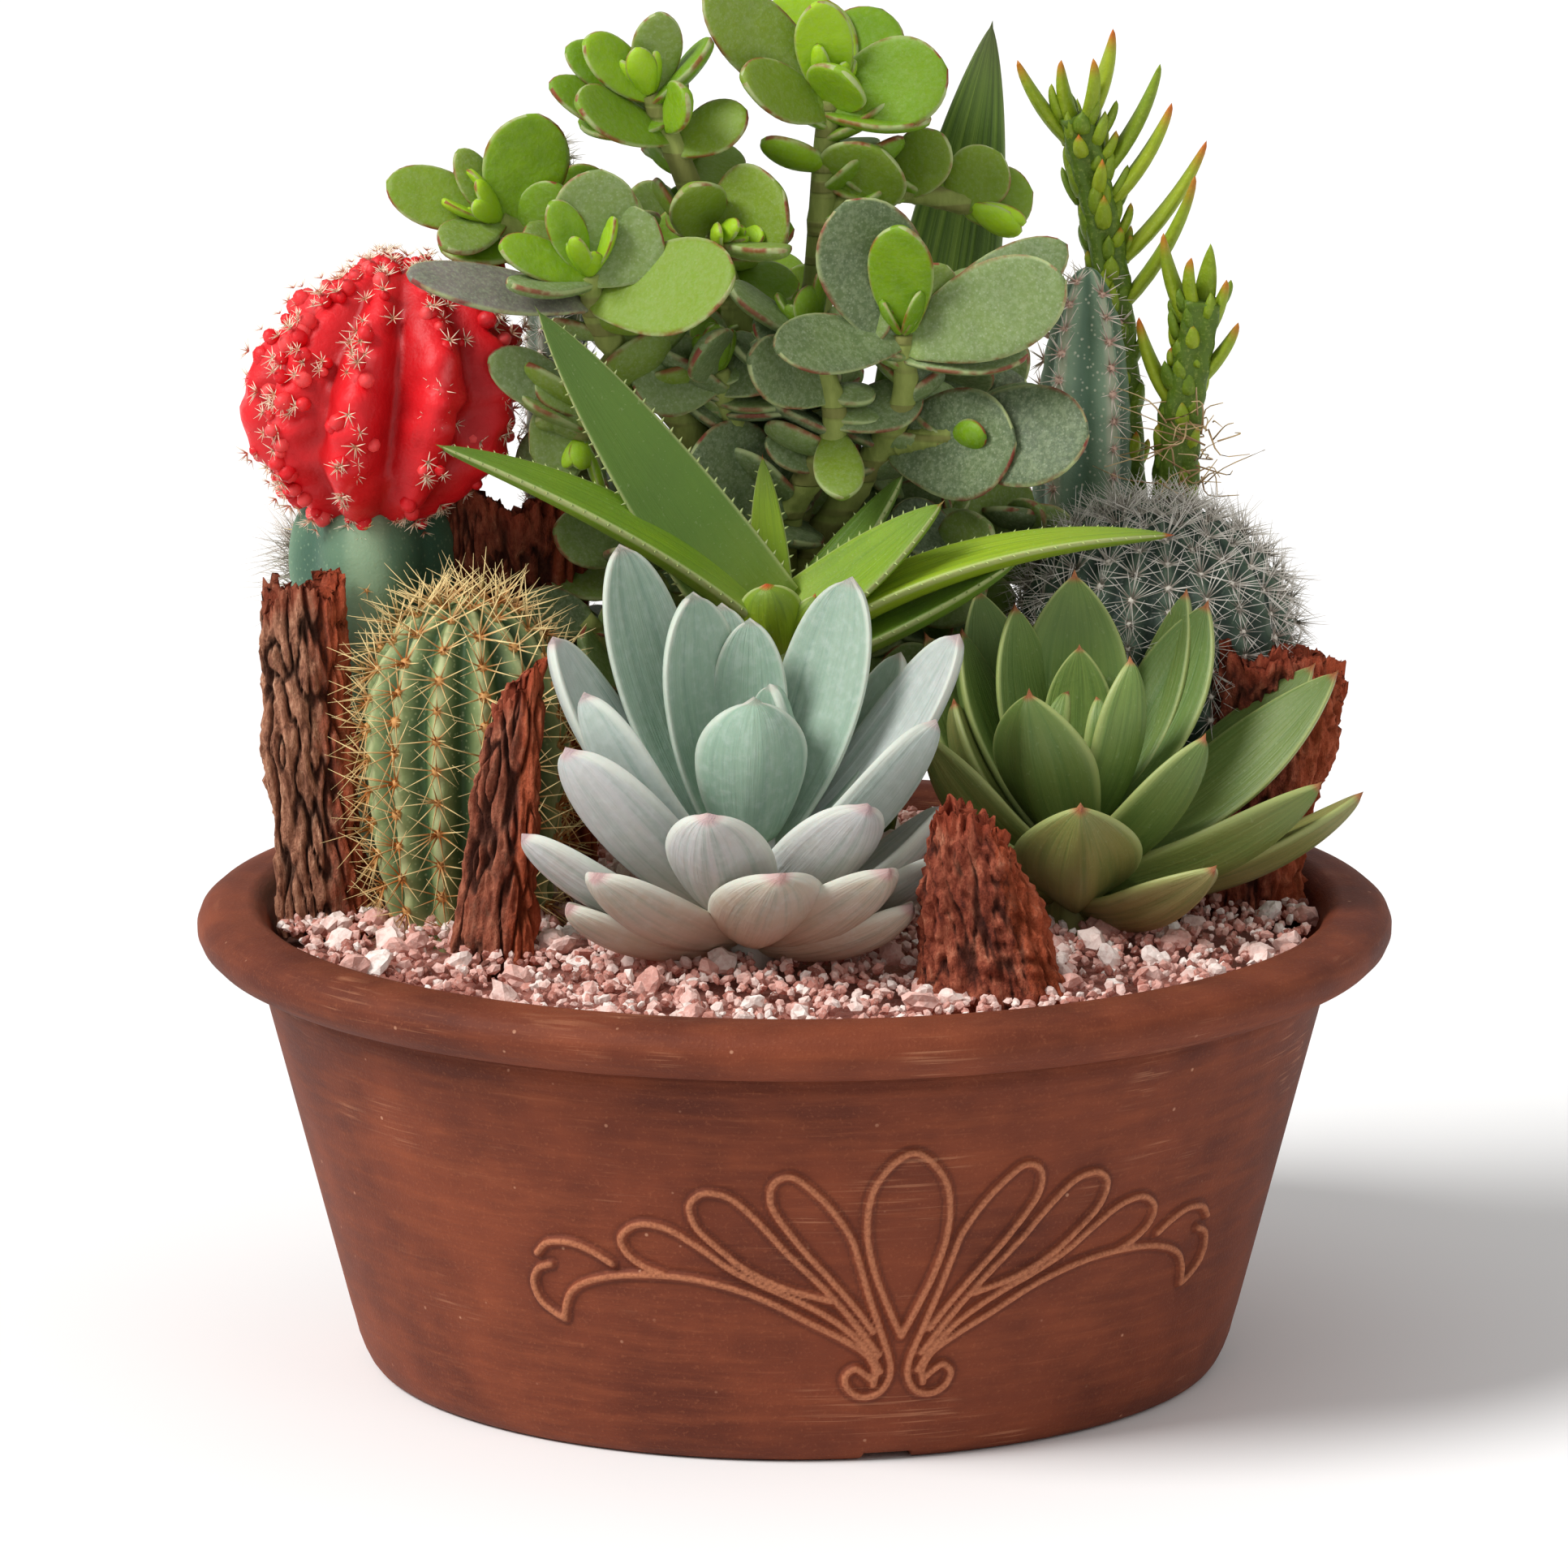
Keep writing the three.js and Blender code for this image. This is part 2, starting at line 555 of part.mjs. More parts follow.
// Each branch is a few twigs with leaves on them. A leaf row: which twig, the share of the way
// along it, the tip, the width, and where the upper face looks in degrees: 0 is up, 90 the front.
const jadeBranches = {
  jade_branch_top: {
    twigs: [
      [[2, 48, 228], [6, 46, 270], [8, 41, 306], [9, 40, 318]],
      [[7, 44, 290], [26, 46, 294], [44, 48, 290]],
    ],
    leaves: [
      [0, 0.95, [-22, 32, 350], 20, 70], [0, 1, [-4, 58, 341], 29, 70], [0, 1, [6, 30, 344], 15, 80],
      [0, 0.98, [-7, 40, 336], 17, 40], [0, 0.9, [-13, 22, 327], 16, 60], [0, 1, [38, 30, 327], 23, 65],
      [0, 0.9, [34, 34, 314], 17, 10], [0, 0.97, [12, 26, 327], 17, 75], [1, 0.1, [22, 34, 306], 23, 80],
      [1, 0.5, [37, 42, 309], 16, 60], [1, 0.9, [52, 48, 303], 17, 70], [1, 1, [60, 50, 293], 17, 80],
      [0, 1, [22, 60, 338], 22, 30], [0, 0.9, [12, 72, 322], 22, -30],
    ],
  },
  jade_branch_upper_left: {
    twigs: [
      [[-1, 48, 222], [-14, 38, 262], [-26, 30, 297], [-36, 29, 321]],
      [[-22, 32, 284], [-19, 27, 285]],
    ],
    leaves: [
      [0, 1, [-57, 28, 333], 12, 70], [0, 1, [-52, 22, 336], 13, 70], [0, 1, [-33, 25, 342], 13, 80],
      [0, 0.98, [-21, 30, 335], 13, 0], [0, 0.85, [-61, 22, 325], 13, 50], [0, 0.85, [-54, 11, 322], 17, 45],
      [0, 0.9, [-27, 16, 323], 13, 60], [1, 1, [-3, 18, 298], 26, 75], [1, 1, [-2, 8, 285], 13, 5],
      [0, 0.8, [-12, 28, 317], 15, 40], [1, 0.5, [-26, 14, 300], 16, 80], [0, 0.9, [-38, 52, 330], 20, -20],
    ],
  },
  jade_branch_left: {
    twigs: [
      [[-4, 50, 214], [-30, 42, 252], [-56, 36, 276], [-74, 30, 289]],
    ],
    leaves: [
      [0, 1, [-102, 30, 299], 16, 60], [0, 1, [-84, 30, 307], 10, 60], [0, 0.95, [-64, 28, 316], 21, 80],
      [0, 1, [-88, 16, 285], 13, 20], [0, 0.9, [-58, 26, 298], 13, 60], [0, 0.9, [-84, 46, 300], 17, -10],
      [0, 0.6, [-60, 60, 285], 22, -20],
    ],
  },
  jade_branch_front_left: {
    twigs: [
      [[-6, 46, 206], [-28, 30, 238], [-48, 14, 264], [-51, 8, 279]],
      [[-44, 20, 256], [-52, 16, 246], [-54, 16, 236]],
    ],
    leaves: [
      [0, 1, [-48, 8, 305], 22, 75], [0, 1, [-35, 8, 293], 21, 70], [0, 0.98, [-73, -1, 288], 12, 60],
      [0, 1, [-60, 4, 298], 10, 60], [0, 0.95, [-71, -5, 279], 11, 5], [0, 0.85, [-15, -10, 281], 27, 55],
      [0, 0.8, [-96, -4, 281], 16, 35], [0, 0.9, [-42, 22, 298], 16, 70], [1, 0.6, [-76, 10, 258], 13, 60],
      [1, 1, [-66, 14, 233], 20, 80], [1, 1, [-70, 26, 225], 17, 60], [0, 0.9, [-66, 20, 290], 15, 20],
    ],
  },
  jade_branch_right: {
    twigs: [
      [[0, 50, 194], [16, 34, 222], [27, 20, 244], [27, 14, 263]],
      [[20, 28, 232], [40, 20, 236]],
    ],
    leaves: [
      [0, 0.95, [13, 9, 297], 27, 70], [0, 1, [26, 0, 292], 17, 80], [0, 0.98, [-5, -4, 263], 17, 60],
      [0, 0.95, [67, -4, 279], 24, 65], [0, 0.9, [58, 12, 258], 16, 30], [0, 1, [38, 14, 280], 15, 80],
      [0, 0.95, [68, 22, 284], 18, 60], [1, 0.2, [55, 8, 236], 28, 75], [1, 0.9, [73, 2, 239], 26, 75],
      [1, 1, [62, 34, 246], 20, 10], [0, 0.9, [44, 36, 276], 21, -20],
    ],
  },
  jade_branch_low: {
    twigs: [
      [[-4, 54, 182], [-2, 36, 212], [10, 18, 238], [4, 20, 262]],
      [[-2, 38, 210], [-16, 28, 240], [-19, 25, 252]],
    ],
    leaves: [
      [0, 1, [-16, 18, 275], 15, 10], [0, 0.8, [-11, 0, 260], 18, 60], [0, 0.65, [12, 0, 224], 13, 80],
      [0, 0.4, [-26, 18, 231], 27, 75], [1, 0.95, [-41, 18, 252], 22, 75], [1, 1, [-22, 6, 262], 16, 70],
      [0, 0.5, [22, 44, 228], 22, -10], [1, 0.5, [-32, 48, 244], 21, -20],
      [0, 0.95, [24, 12, 271], 15, 60], [1, 0.7, [-30, 34, 268], 18, 50], [0, 0.7, [32, 22, 246], 16, 40],
    ],
  },
};

function jadeBranch({ twigs, leaves }, grow = 0) {
  const lines = twigs.map((points) => new THREE.CatmullRomCurve3(points.map(spot)));
  const wood = twigs.map((points, i) => stem(points, i === 0 ? 4.6 : 3.4, 2.8, grow, 6));
  const blades = leaves.map(([twig, share, tip, width, facing]) => leaf({
    root: lines[twig].getPoint(share),
    tip: spot(tip),
    width,
    thickness: 4.6,
    form: leafForms.paddle,
    facing: new THREE.Vector3(0.1, -Math.sin(radians(facing)), Math.cos(radians(facing))),
    bow: 0.05,
    sunk: 3,
  }, grow));
  return join([...wood, ...blades]);
}

// ---- assembly -------------------------------------------------------------------------------

const finishes = {
  terracotta: { color: 0xa4603c, roughness: 0.85 },
  soil: { color: 0x2e2019, roughness: 1 },
  gravel: { color: 0xc39a8c, roughness: 0.95 },
  bark: { color: 0x6b3a26, roughness: 1 },
  barrelSkin: { color: 0x7f9a55, roughness: 0.6 },
  blueSkin: { color: 0x6f8f86, roughness: 0.6 },
  redSkin: { color: 0xc21414, roughness: 0.45 },
  woollySkin: { color: 0x5c6f66, roughness: 0.8 },
  paleSkin: { color: 0x9aa392, roughness: 0.8 },
  spurgeSkin: { color: 0x5f7d16, roughness: 0.5 },
  swordSkin: { color: 0x4a4a44, roughness: 0.6 },
  aloeSkin: { color: 0x7c9a12, roughness: 0.45 },
  blueLeaf: { color: 0xa9bcb4, roughness: 0.7 },
  greenLeaf: { color: 0x6f8a35, roughness: 0.5 },
  jadeWood: { color: 0x6f7a3a, roughness: 0.7 },
  jadeLeaf: { color: 0x7d8f55, roughness: 0.5 },
};

const arrangement = new THREE.Group();
const settled = [];

const boxesMeet = (a, b) => [0, 1, 2].every((i) => a.min[i] < b.max[i] && b.min[i] < a.max[i]);

function largestPart(solid) {
  const parts = solid.decompose();
  return parts.reduce((best, part) => (part.volume() > best.volume() ? part : best));
}

// Adds a piece, cut back wherever it would press into a piece that is already there.
function settle(name, finish, shape) {
  let solid = shape(0);
  for (const other of settled) {
    if (boxesMeet(solid.boundingBox(), other.box)) {
      solid = solid.subtract(other.grown);
    }
  }
  const piece = largestPart(solid.simplify(facetTolerance));
  const grown = shape(gap).add(shape(0));
  settled.push({ grown, box: grown.boundingBox() });
  const mesh = new THREE.Mesh(
    toGeometry(piece).translate(0, 0, -footLevel),
    new THREE.MeshStandardMaterial({ ...finishes[finish], metalness: 0 }),
  );
  mesh.name = name;
  arrangement.add(mesh);
}

const cactusFinishes = {
  barrel_cactus: 'barrelSkin',
  moon_cactus_rootstock: 'blueSkin',
  woolly_cactus: 'woollySkin',
  blue_column_cactus: 'blueSkin',
  white_column_cactus: 'paleSkin',
  white_haired_cactus: 'paleSkin',
};

settle('terracotta_bowl', 'terracotta', bowl);
settle('potting_mix', 'soil', pottingMix);
for (const [name, cactus] of Object.entries(cacti)) {
  settle(name, cactusFinishes[name], (grow) => ribbed(cactus, grow));
}
settle('moon_cactus_head', 'redSkin', moonHead);
settle('blue_rosette_heart', 'blueLeaf', (grow) => rosetteHeart(blueRosette, grow));
blueRosette.leaves.forEach((row, i) => {
  settle(`blue_rosette_leaf_${i + 1}`, 'blueLeaf', (grow) => rosetteLeaf(blueRosette, row, grow));
});
settle('green_rosette_heart', 'greenLeaf', (grow) => rosetteHeart(greenRosette, grow));
greenRosette.leaves.forEach((row, i) => {
  settle(`green_rosette_leaf_${i + 1}`, 'greenLeaf', (grow) => rosetteLeaf(greenRosette, row, grow));
});
settle('aloe_crown', 'aloeSkin', aloeCrown);
for (const [name, row] of Object.entries(aloe.leaves)) {
  settle(name, 'aloeSkin', (grow) => aloeLeaf(row, grow));
}
settle('sword_leaf', 'swordSkin', swordLeaf);
for (const [name, plant] of Object.entries(spurges)) {
  settle(name, 'spurgeSkin', (grow) => spurge(plant, grow));
}
settle('jade_trunk', 'jadeWood', (grow) => stem(
  jadeTrunk.route,
  jadeTrunk.rootRadius,
  jadeTrunk.tipRadius,
  grow,
));
for (const [name, branch] of Object.entries(jadeBranches)) {
  settle(name, 'jadeLeaf', (grow) => jadeBranch(branch, grow));
}
for (const [name, piece] of Object.entries(barkPieces)) {
  settle(name, 'bark', (grow) => bark(piece, grow));
}
settle('gravel_topdressing', 'gravel', gravel);

export default arrangement;
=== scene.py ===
import math
import random

import bmesh
import bpy
import numpy as np
from mathutils import Matrix, Vector, noise


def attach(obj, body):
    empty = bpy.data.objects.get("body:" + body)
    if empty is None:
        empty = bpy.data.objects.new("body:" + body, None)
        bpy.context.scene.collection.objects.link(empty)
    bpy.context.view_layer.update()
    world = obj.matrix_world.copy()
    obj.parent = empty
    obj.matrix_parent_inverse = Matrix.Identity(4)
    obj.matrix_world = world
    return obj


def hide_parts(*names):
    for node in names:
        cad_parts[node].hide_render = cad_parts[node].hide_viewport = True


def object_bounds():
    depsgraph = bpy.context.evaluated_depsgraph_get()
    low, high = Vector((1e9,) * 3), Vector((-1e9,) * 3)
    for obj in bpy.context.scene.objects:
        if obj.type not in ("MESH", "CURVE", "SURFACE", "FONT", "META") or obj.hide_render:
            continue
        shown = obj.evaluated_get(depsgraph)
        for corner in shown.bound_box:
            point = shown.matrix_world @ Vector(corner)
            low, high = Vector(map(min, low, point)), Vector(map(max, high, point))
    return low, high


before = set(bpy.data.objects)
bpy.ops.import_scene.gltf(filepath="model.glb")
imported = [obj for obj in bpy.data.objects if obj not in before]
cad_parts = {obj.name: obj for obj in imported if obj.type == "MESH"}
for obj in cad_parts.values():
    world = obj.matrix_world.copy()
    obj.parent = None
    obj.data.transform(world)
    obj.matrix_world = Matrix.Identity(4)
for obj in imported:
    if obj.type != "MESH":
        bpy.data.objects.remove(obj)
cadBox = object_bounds()
mm = 0.001
tau = math.tau
up = Vector((0, 0, 1))
footLevel = 5                              # heights are measured from 5 mm under the foot
print("frame loaded")


# ---- shader tools: a wire carries a socket, so that sums on wires become Math nodes

class Wire:
    def __init__(self, finish, socket):
        self.finish = finish
        self.socket = socket

    def sum(self, operation, *parts):
        made = self.finish.node("ShaderNodeMath", {"operation": operation}, dict(enumerate(parts)))
        return Wire(self.finish, made.outputs[0])

    def __add__(self, other):
        return self.sum("ADD", self, other)

    def __radd__(self, other):
        return self.sum("ADD", other, self)

    def __sub__(self, other):
        return self.sum("SUBTRACT", self, other)

    def __rsub__(self, other):
        return self.sum("SUBTRACT", other, self)

    def __mul__(self, other):
        return self.sum("MULTIPLY", self, other)

    def __rmul__(self, other):
        return self.sum("MULTIPLY", other, self)

    def __pow__(self, other):
        return self.sum("POWER", self, other)

    def __abs__(self):
        return self.sum("ABSOLUTE", self)

    def larger(self, other):
        return self.sum("MAXIMUM", self, other)

    def between(self, low, high):          # 0 below low, 1 above high, eased
        made = self.finish.node(
            "ShaderNodeMapRange",
            {"interpolation_type": "SMOOTHSTEP"},
            {"Value": self, "From Min": low, "From Max": high},
        )
        return Wire(self.finish, made.outputs[0])


def tint(red, green, blue):                # a colour as a paint chart gives it, 0 to 255
    linear = [((v / 255 + 0.055) / 1.055) ** 2.4 if v > 10 else v / 255 / 12.92
              for v in (red, green, blue)]
    return (*linear, 1)


class Finish:
    def __init__(self, name, fixed=None):
        self.material = bpy.data.materials.new(name)
        self.material.use_nodes = True
        self.tree = self.material.node_tree
        self.shader = self.tree.nodes["Principled BSDF"]
        self.feed(self.shader, fixed or {})

    def feed(self, made, inputs):
        for key, value in inputs.items():
            if isinstance(value, Wire):
                self.tree.links.new(value.socket, made.inputs[key])
            else:
                made.inputs[key].default_value = value

    def node(self, kind, settings=None, inputs=None):
        made = self.tree.nodes.new(kind)
        for key, value in (settings or {}).items():
            if key == "stops":
                ramp = made.color_ramp.elements
                for index, (place, colour) in enumerate(value):
                    stop = ramp[index] if index < 2 else ramp.new(place)
                    stop.position = place
                    stop.color = colour
            else:
                setattr(made, key, value)
        self.feed(made, inputs or {})
        return made

    def where(self, stretch=(1, 1, 1)):
        place = Wire(self, self.node("ShaderNodeTexCoord").outputs["Object"])
        moved = self.node("ShaderNodeMapping", None, {"Vector": place, "Scale": stretch})
        return Wire(self, moved.outputs[0])

    def grain(self, size, detail=3, vector=None, roughness=0.55):   # size in mm
        made = self.node("ShaderNodeTexNoise", None, {
            "Vector": vector or self.where(), "Scale": 1000 / size, "Detail": detail,
            "Roughness": roughness,
        })
        return Wire(self, made.outputs[0])

    def cells(self, size):
        made = self.node("ShaderNodeTexVoronoi", None, {"Vector": self.where(), "Scale": 1000 / size})
        return Wire(self, made.outputs["Distance"])

    def value(self, name):
        made = self.node("ShaderNodeAttribute", {"attribute_name": name})
        return Wire(self, made.outputs["Fac"])

    def lay(self):                         # along the leaf, across it, and up from it
        made = self.node("ShaderNodeAttribute", {"attribute_name": "lay"})
        split = self.node("ShaderNodeSeparateXYZ", None, {0: Wire(self, made.outputs["Vector"])})
        return [Wire(self, split.outputs[i]) for i in range(3)]

    def streaks(self, x, y, z):            # grain drawn out along a leaf
        made = self.node("ShaderNodeCombineXYZ", None, {0: x, 1: y, 2: z})
        return self.grain(1000, 4, Wire(self, made.outputs[0]), 0.6)

    def blend(self, factor, first, second):
        made = self.node("ShaderNodeMix", {"data_type": "RGBA"}, {0: factor, 6: first, 7: second})
        return Wire(self, made.outputs[2])

    def ramp(self, wire, stops):
        made = self.node("ShaderNodeValToRGB", {"stops": stops}, {0: wire})
        return Wire(self, made.outputs[0])

    def paint(self, colour, roughness, heights):
        normal = None
        for height, distance in heights:
            inputs = {"Height": height, "Distance": distance * mm, "Strength": 1.0}
            if normal:
                inputs["Normal"] = normal
            normal = Wire(self, self.node("ShaderNodeBump", None, inputs).outputs[0])
        self.feed(self.shader, {"Base Color": colour, "Roughness": roughness, "Normal": normal})
        return self.material


def fleshy(name, gloss, glow=0.08, depth=0.004):   # a skin that lets a little light in
    return Finish(name, {"Specular IOR Level": gloss, "Subsurface Weight": glow, "Subsurface Scale": depth})


# ---- mesh tools, all in millimetres until a piece is finished

def fresh():
    mesh = bmesh.new()
    mesh.verts.layers.float_vector.new("lay")
    mesh.verts.layers.float.new("tone")
    return mesh


def finished(mesh, name, material, nodes=(), slot=None, flat=False):
    bmesh.ops.recalc_face_normals(mesh, faces=mesh.faces)
    bmesh.ops.translate(mesh, vec=(0, 0, -footLevel), verts=mesh.verts)
    bmesh.ops.scale(mesh, vec=(mm, mm, mm), verts=mesh.verts)
    for face in mesh.faces:
        face.smooth = not flat
    data = bpy.data.meshes.new(name)
    mesh.to_mesh(data)
    mesh.free()
    data.materials.append(material)
    piece = bpy.data.objects.new(name, data)
    bpy.context.scene.collection.objects.link(piece)
    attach(piece, "root")
    if nodes:
        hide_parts(*nodes)


def drawnOut(mesh, sides, stations, place, tone=0.5):   # a ball whose rings are set one by one
    lay = mesh.verts.layers.float_vector["lay"]
    shade = mesh.verts.layers.float["tone"]
    ball = bmesh.ops.create_uvsphere(mesh, u_segments=sides, v_segments=stations, radius=1)
    for point in ball["verts"]:
        share = math.acos(max(-1.0, min(1.0, -point.co.z))) / math.pi
        angle = math.atan2(point.co.y, point.co.x)
        point.co = place(share, angle)
        point[lay] = (share, math.cos(angle), math.sin(angle))
        point[shade] = tone
    return ball["verts"]


def smoothRoute(points):                   # a Catmull-Rom line through the points
    points = [Vector(p) for p in points]
    ends = [points[0] * 2 - points[1], *points, points[-1] * 2 - points[-2]]

    def at(share):
        place = min(max(share, 0), 0.9999) * (len(points) - 1)
        i = int(place)
        t = place - i
        a, b, c, d = ends[i:i + 4]
        return ((b * 2) + (c - a) * t + (a * 2 - b * 5 + c * 4 - d) * t ** 2
                + (b * 3 - a - c * 3 + d) * t ** 3) / 2
    return at


def ringShare(share, stations):
    return min(1, max(0, (share * stations - 1) / (stations - 2)))


def stem(mesh, points, rootRadius, tipRadius, sides=10, stations=16, tone=0.5, shape=None):
    route = smoothRoute(points)

    def place(share, angle):
        along = ringShare(share, stations)
        tangent = (route(along + 0.01) - route(along - 0.01)).normalized()
        across = tangent.orthogonal() if abs(tangent.x) > 0.9 else Vector((1, 0, 0)).cross(tangent)
        across.normalize()
        other = tangent.cross(across)
        pole = share < 0.001 or share > 0.999
        radius = 0 if pole else rootRadius + (tipRadius - rootRadius) * along
        radius *= shape(along, angle) if shape else 1
        return route(along) + across * radius * math.cos(angle) + other * radius * math.sin(angle)
    drawnOut(mesh, sides, stations, place, tone)
    return route


forms = {                                  # how each kind of leaf widens, cups, folds and ends
    "spoon": dict(neck=0.5, widest=0.62, taper=0.5, channel=0.3, keel=0.1, nib=0.05),
    "pointed": dict(neck=0.62, widest=0.52, taper=0.78, channel=0.2, keel=0.3, nib=0.06),
    "paddle": dict(neck=0.2, widest=0.62, taper=0.5, channel=0.1, keel=0.02, nib=0.02),
    "strap": dict(neck=1, widest=0.08, taper=0.8, channel=0.3, keel=0.12, nib=0.1),
    "sword": dict(neck=0.7, widest=0.6, taper=0.8, channel=0.15, keel=0.2, nib=0.05),
    "needle": dict(neck=0.7, widest=0.35, taper=0.8, channel=0.1, keel=0, nib=0.1),
}


def widthAt(form, t):
    rise = form["neck"] + (1 - form["neck"]) * math.sin(min(t / form["widest"], 1) * math.pi / 2)
    past = max(0, (t - form["widest"]) / (1 - form["widest"]))
    return rise * max(0, 1 - past ** 2) ** form["taper"]


def leafSpine(root, tip, facing, bow, sunk):
    root, tip, facing = Vector(root), Vector(tip), Vector(facing)
    along = (tip - root).normalized()
    face = (facing - along * facing.dot(along)).normalized()
    start = root - along * sunk
    middle = start.lerp(tip, 0.5) - face * bow * (tip - start).length
    across = along.cross(face)

    def at(t, twist=0):
        spot = start * (1 - t) ** 2 + middle * 2 * t * (1 - t) + tip * t ** 2
        tangent = ((middle - start) * (1 - t) + (tip - middle) * t).normalized()
        side = Matrix.Rotation(twist * t, 3, tangent) @ across
        return spot, tangent, side, side.cross(tangent).normalized()
    return at


def leaf(mesh, root, tip, width, thick, form, facing, bow=0.12, sunk=0, tone=0.5, twist=0,
         wave=0, sides=20, stations=20):
    shape = forms[form]
    at = leafSpine(root, tip, facing, bow, sunk)
    phase = (root[0] * 0.37 + tip[1] * 0.61) % tau

    def place(share, angle):
        t = 1 - (1 - share) ** 1.5
        spot, tangent, side, normal = at(t, twist)
        if share < 0.001 or share > 0.999:
            return spot + tangent * (shape["nib"] * width if share > 0.5 else 0)
        c, s = math.cos(angle), math.sin(angle)
        half = widthAt(shape, t) * width / 2
        body = thick / 2 * math.sqrt(widthAt(shape, t)) * s * (0.7 if s > 0 else 1.2)
        lift = shape["channel"] * half * c * c + body
        lift -= shape["keel"] * half * max(0, 1 - abs(c) * 1.6) * (s < 0)
        lift += wave * half * c * math.sin(t * 8 + phase)
        lift += wave * half * 0.4 * math.sin(t * 5 + phase * 2)
        return spot + side * half * c + normal * lift
    drawnOut(mesh, sides, stations, place, tone)
    return at


class Stamp:                               # one small shape, pressed again and again into a mesh
    def __init__(self, make):
        small = fresh()
        make(small)
        bmesh.ops.recalc_face_normals(small, faces=small.faces)
        self.data = bpy.data.meshes.new("stamp")
        small.to_mesh(self.data)
        small.free()
        count = len(self.data.vertices)
        self.base = np.zeros(count * 3)
        self.data.vertices.foreach_get("co", self.base)
        self.base = self.base.reshape(-1, 3)

    def press(self, mesh, spot, matrix, tone=None):
        moved = self.base @ np.array(matrix).T + np.array(spot)
        self.data.vertices.foreach_set("co", moved.ravel())
        if tone is not None:
            self.data.attributes["tone"].data.foreach_set("value", [tone] * len(moved))
        mesh.from_mesh(self.data)

    def done(self):
        bpy.data.meshes.remove(self.data)


def aimed(direction, spin=0, size=(1, 1, 1)):   # turns +Z to the direction
    turn = Vector(direction).to_track_quat("Z", "Y").to_matrix()
    return turn @ Matrix.Rotation(spin, 3, "Z") @ Matrix.Diagonal(size)


def spineTuft(seed, count, reach, spread, thick, straight=0):   # a star of fine spines
    dice = random.Random(seed)

    def make(mesh):
        for i in range(count + straight):
            lean = spread if i < count else spread * 0.35
            way = Vector((
                math.cos(tau * i / count + dice.uniform(-0.2, 0.2)) * lean,
                math.sin(tau * i / count + dice.uniform(-0.2, 0.2)) * lean,
                dice.uniform(0.5, 1.0),
            )).normalized()
            length = reach * dice.uniform(0.65, 1.1)
            turn = aimed(way).to_4x4()
            turn.translation = way * length * 0.5
            bmesh.ops.create_cone(
                mesh, cap_ends=True, segments=3, radius1=thick, radius2=thick * 0.15,
                depth=length, matrix=turn,
            )
        lay = mesh.verts.layers.float_vector["lay"]
        for point in mesh.verts:
            point[lay] = (point.co.length / reach, 0, 0)
    return Stamp(make)


# ---- bowl

bowl = dict(
    steps=300, coarseSteps=130, frontFrom=-36, frontWidth=97, centre=12.6,
    ridgeHeight=1.5, ridgeHalf=1.25, notches=(12, 132, 252), notchHalf=5.5, notchHeight=3,
)

ornament = {                               # degrees from its centre, and height
    "centre": [(0, 38.9), (-1.4, 45.1), (-3.5, 56), (-4.6, 66.8), (-4.2, 77.4), (-2.2, 84.6),
               (0, 87.5), (2.2, 84.6), (4.2, 77.4), (4.6, 66.8), (3.5, 56), (1.4, 45.1), (0, 38.9)],
    "volute": [(-3.4, 27.6), (-4.4, 29.4), (-5.5, 30.6), (-6.6, 28.2), (-5.9, 24.6), (-4.1, 22.9),
               (-2.2, 24.2), (-1.1, 28.3), (-1.3, 33.1), (-2.5, 40.4), (-4.1, 50.1),
               (-5.3, 58.5), (-6.4, 65.7), (-8.7, 73.5), (-11.1, 79.1), (-13, 82),
               (-14.7, 80.7), (-15.3, 77.1), (-14.7, 72), (-11.6, 62.4), (-8.5, 54.6),
               (-5.4, 46.4), (-3.4, 40.5)],
    "secondPetal": [(-8.5, 49), (-13.6, 52.3), (-18, 57.1), (-21.4, 63.1), (-23.6, 68.2),
                    (-24.2, 73.5), (-23.1, 76.6), (-21.7, 77.3), (-19.5, 75.9), (-16.9, 70.6),
                    (-13.5, 61.8), (-9, 51.6), (-5.3, 41.9), (-2.6, 34.2)],
    "thirdPetal": [(-27.7, 54.9), (-30.3, 57.2), (-32, 60.4), (-32.3, 64.5), (-30.1, 67.9),
                   (-26.9, 67.2), (-23.5, 62.9), (-20, 57.3), (-16.6, 53.4), (-12.5, 49.3),
                   (-9.5, 45.7), (-6.3, 40.7), (-3.6, 34.3), (-2.3, 29.6)],
    "lowerStem": [(-40.8, 40.5), (-40.3, 44.8), (-39.1, 48.7), (-36.6, 51.7), (-32.6, 53.9),
                  (-27.8, 54.6), (-23.7, 54), (-19.6, 52), (-15.6, 48.7), (-11, 43.3),
                  (-7.3, 39), (-4.1, 34.4), (-2.9, 29.7), (-3.1, 26.1)],
    "endTop": [(-33.8, 56.7), (-36.1, 59.5), (-38.8, 61.2), (-41.7, 60.4), (-43.3, 57.3)],
    "endSide": [(-41.7, 54.7), (-43.5, 53), (-44.4, 49.2), (-43.8, 44.6), (-42.2, 41.9),
                (-40.8, 40.5)],
}


def wallRadius(height):
    return 111 + (height - 15) * 24 / 93


def ornamentLines():                       # every ridge as short straight bits, in millimetres
    bits = []
    for name, points in ornament.items():
        for side in ((1,) if name == "centre" else (1, -1)):
            route = smoothRoute([(a * side, z, 0) for a, z in points])
            count = len(points) * 7
            row = [route(i / count) for i in range(count + 1)]
            row = [(math.radians(p.x) * wallRadius(p.y), p.y) for p in row]
            bits += list(zip(row[:-1], row[1:]))
    return np.array(bits)


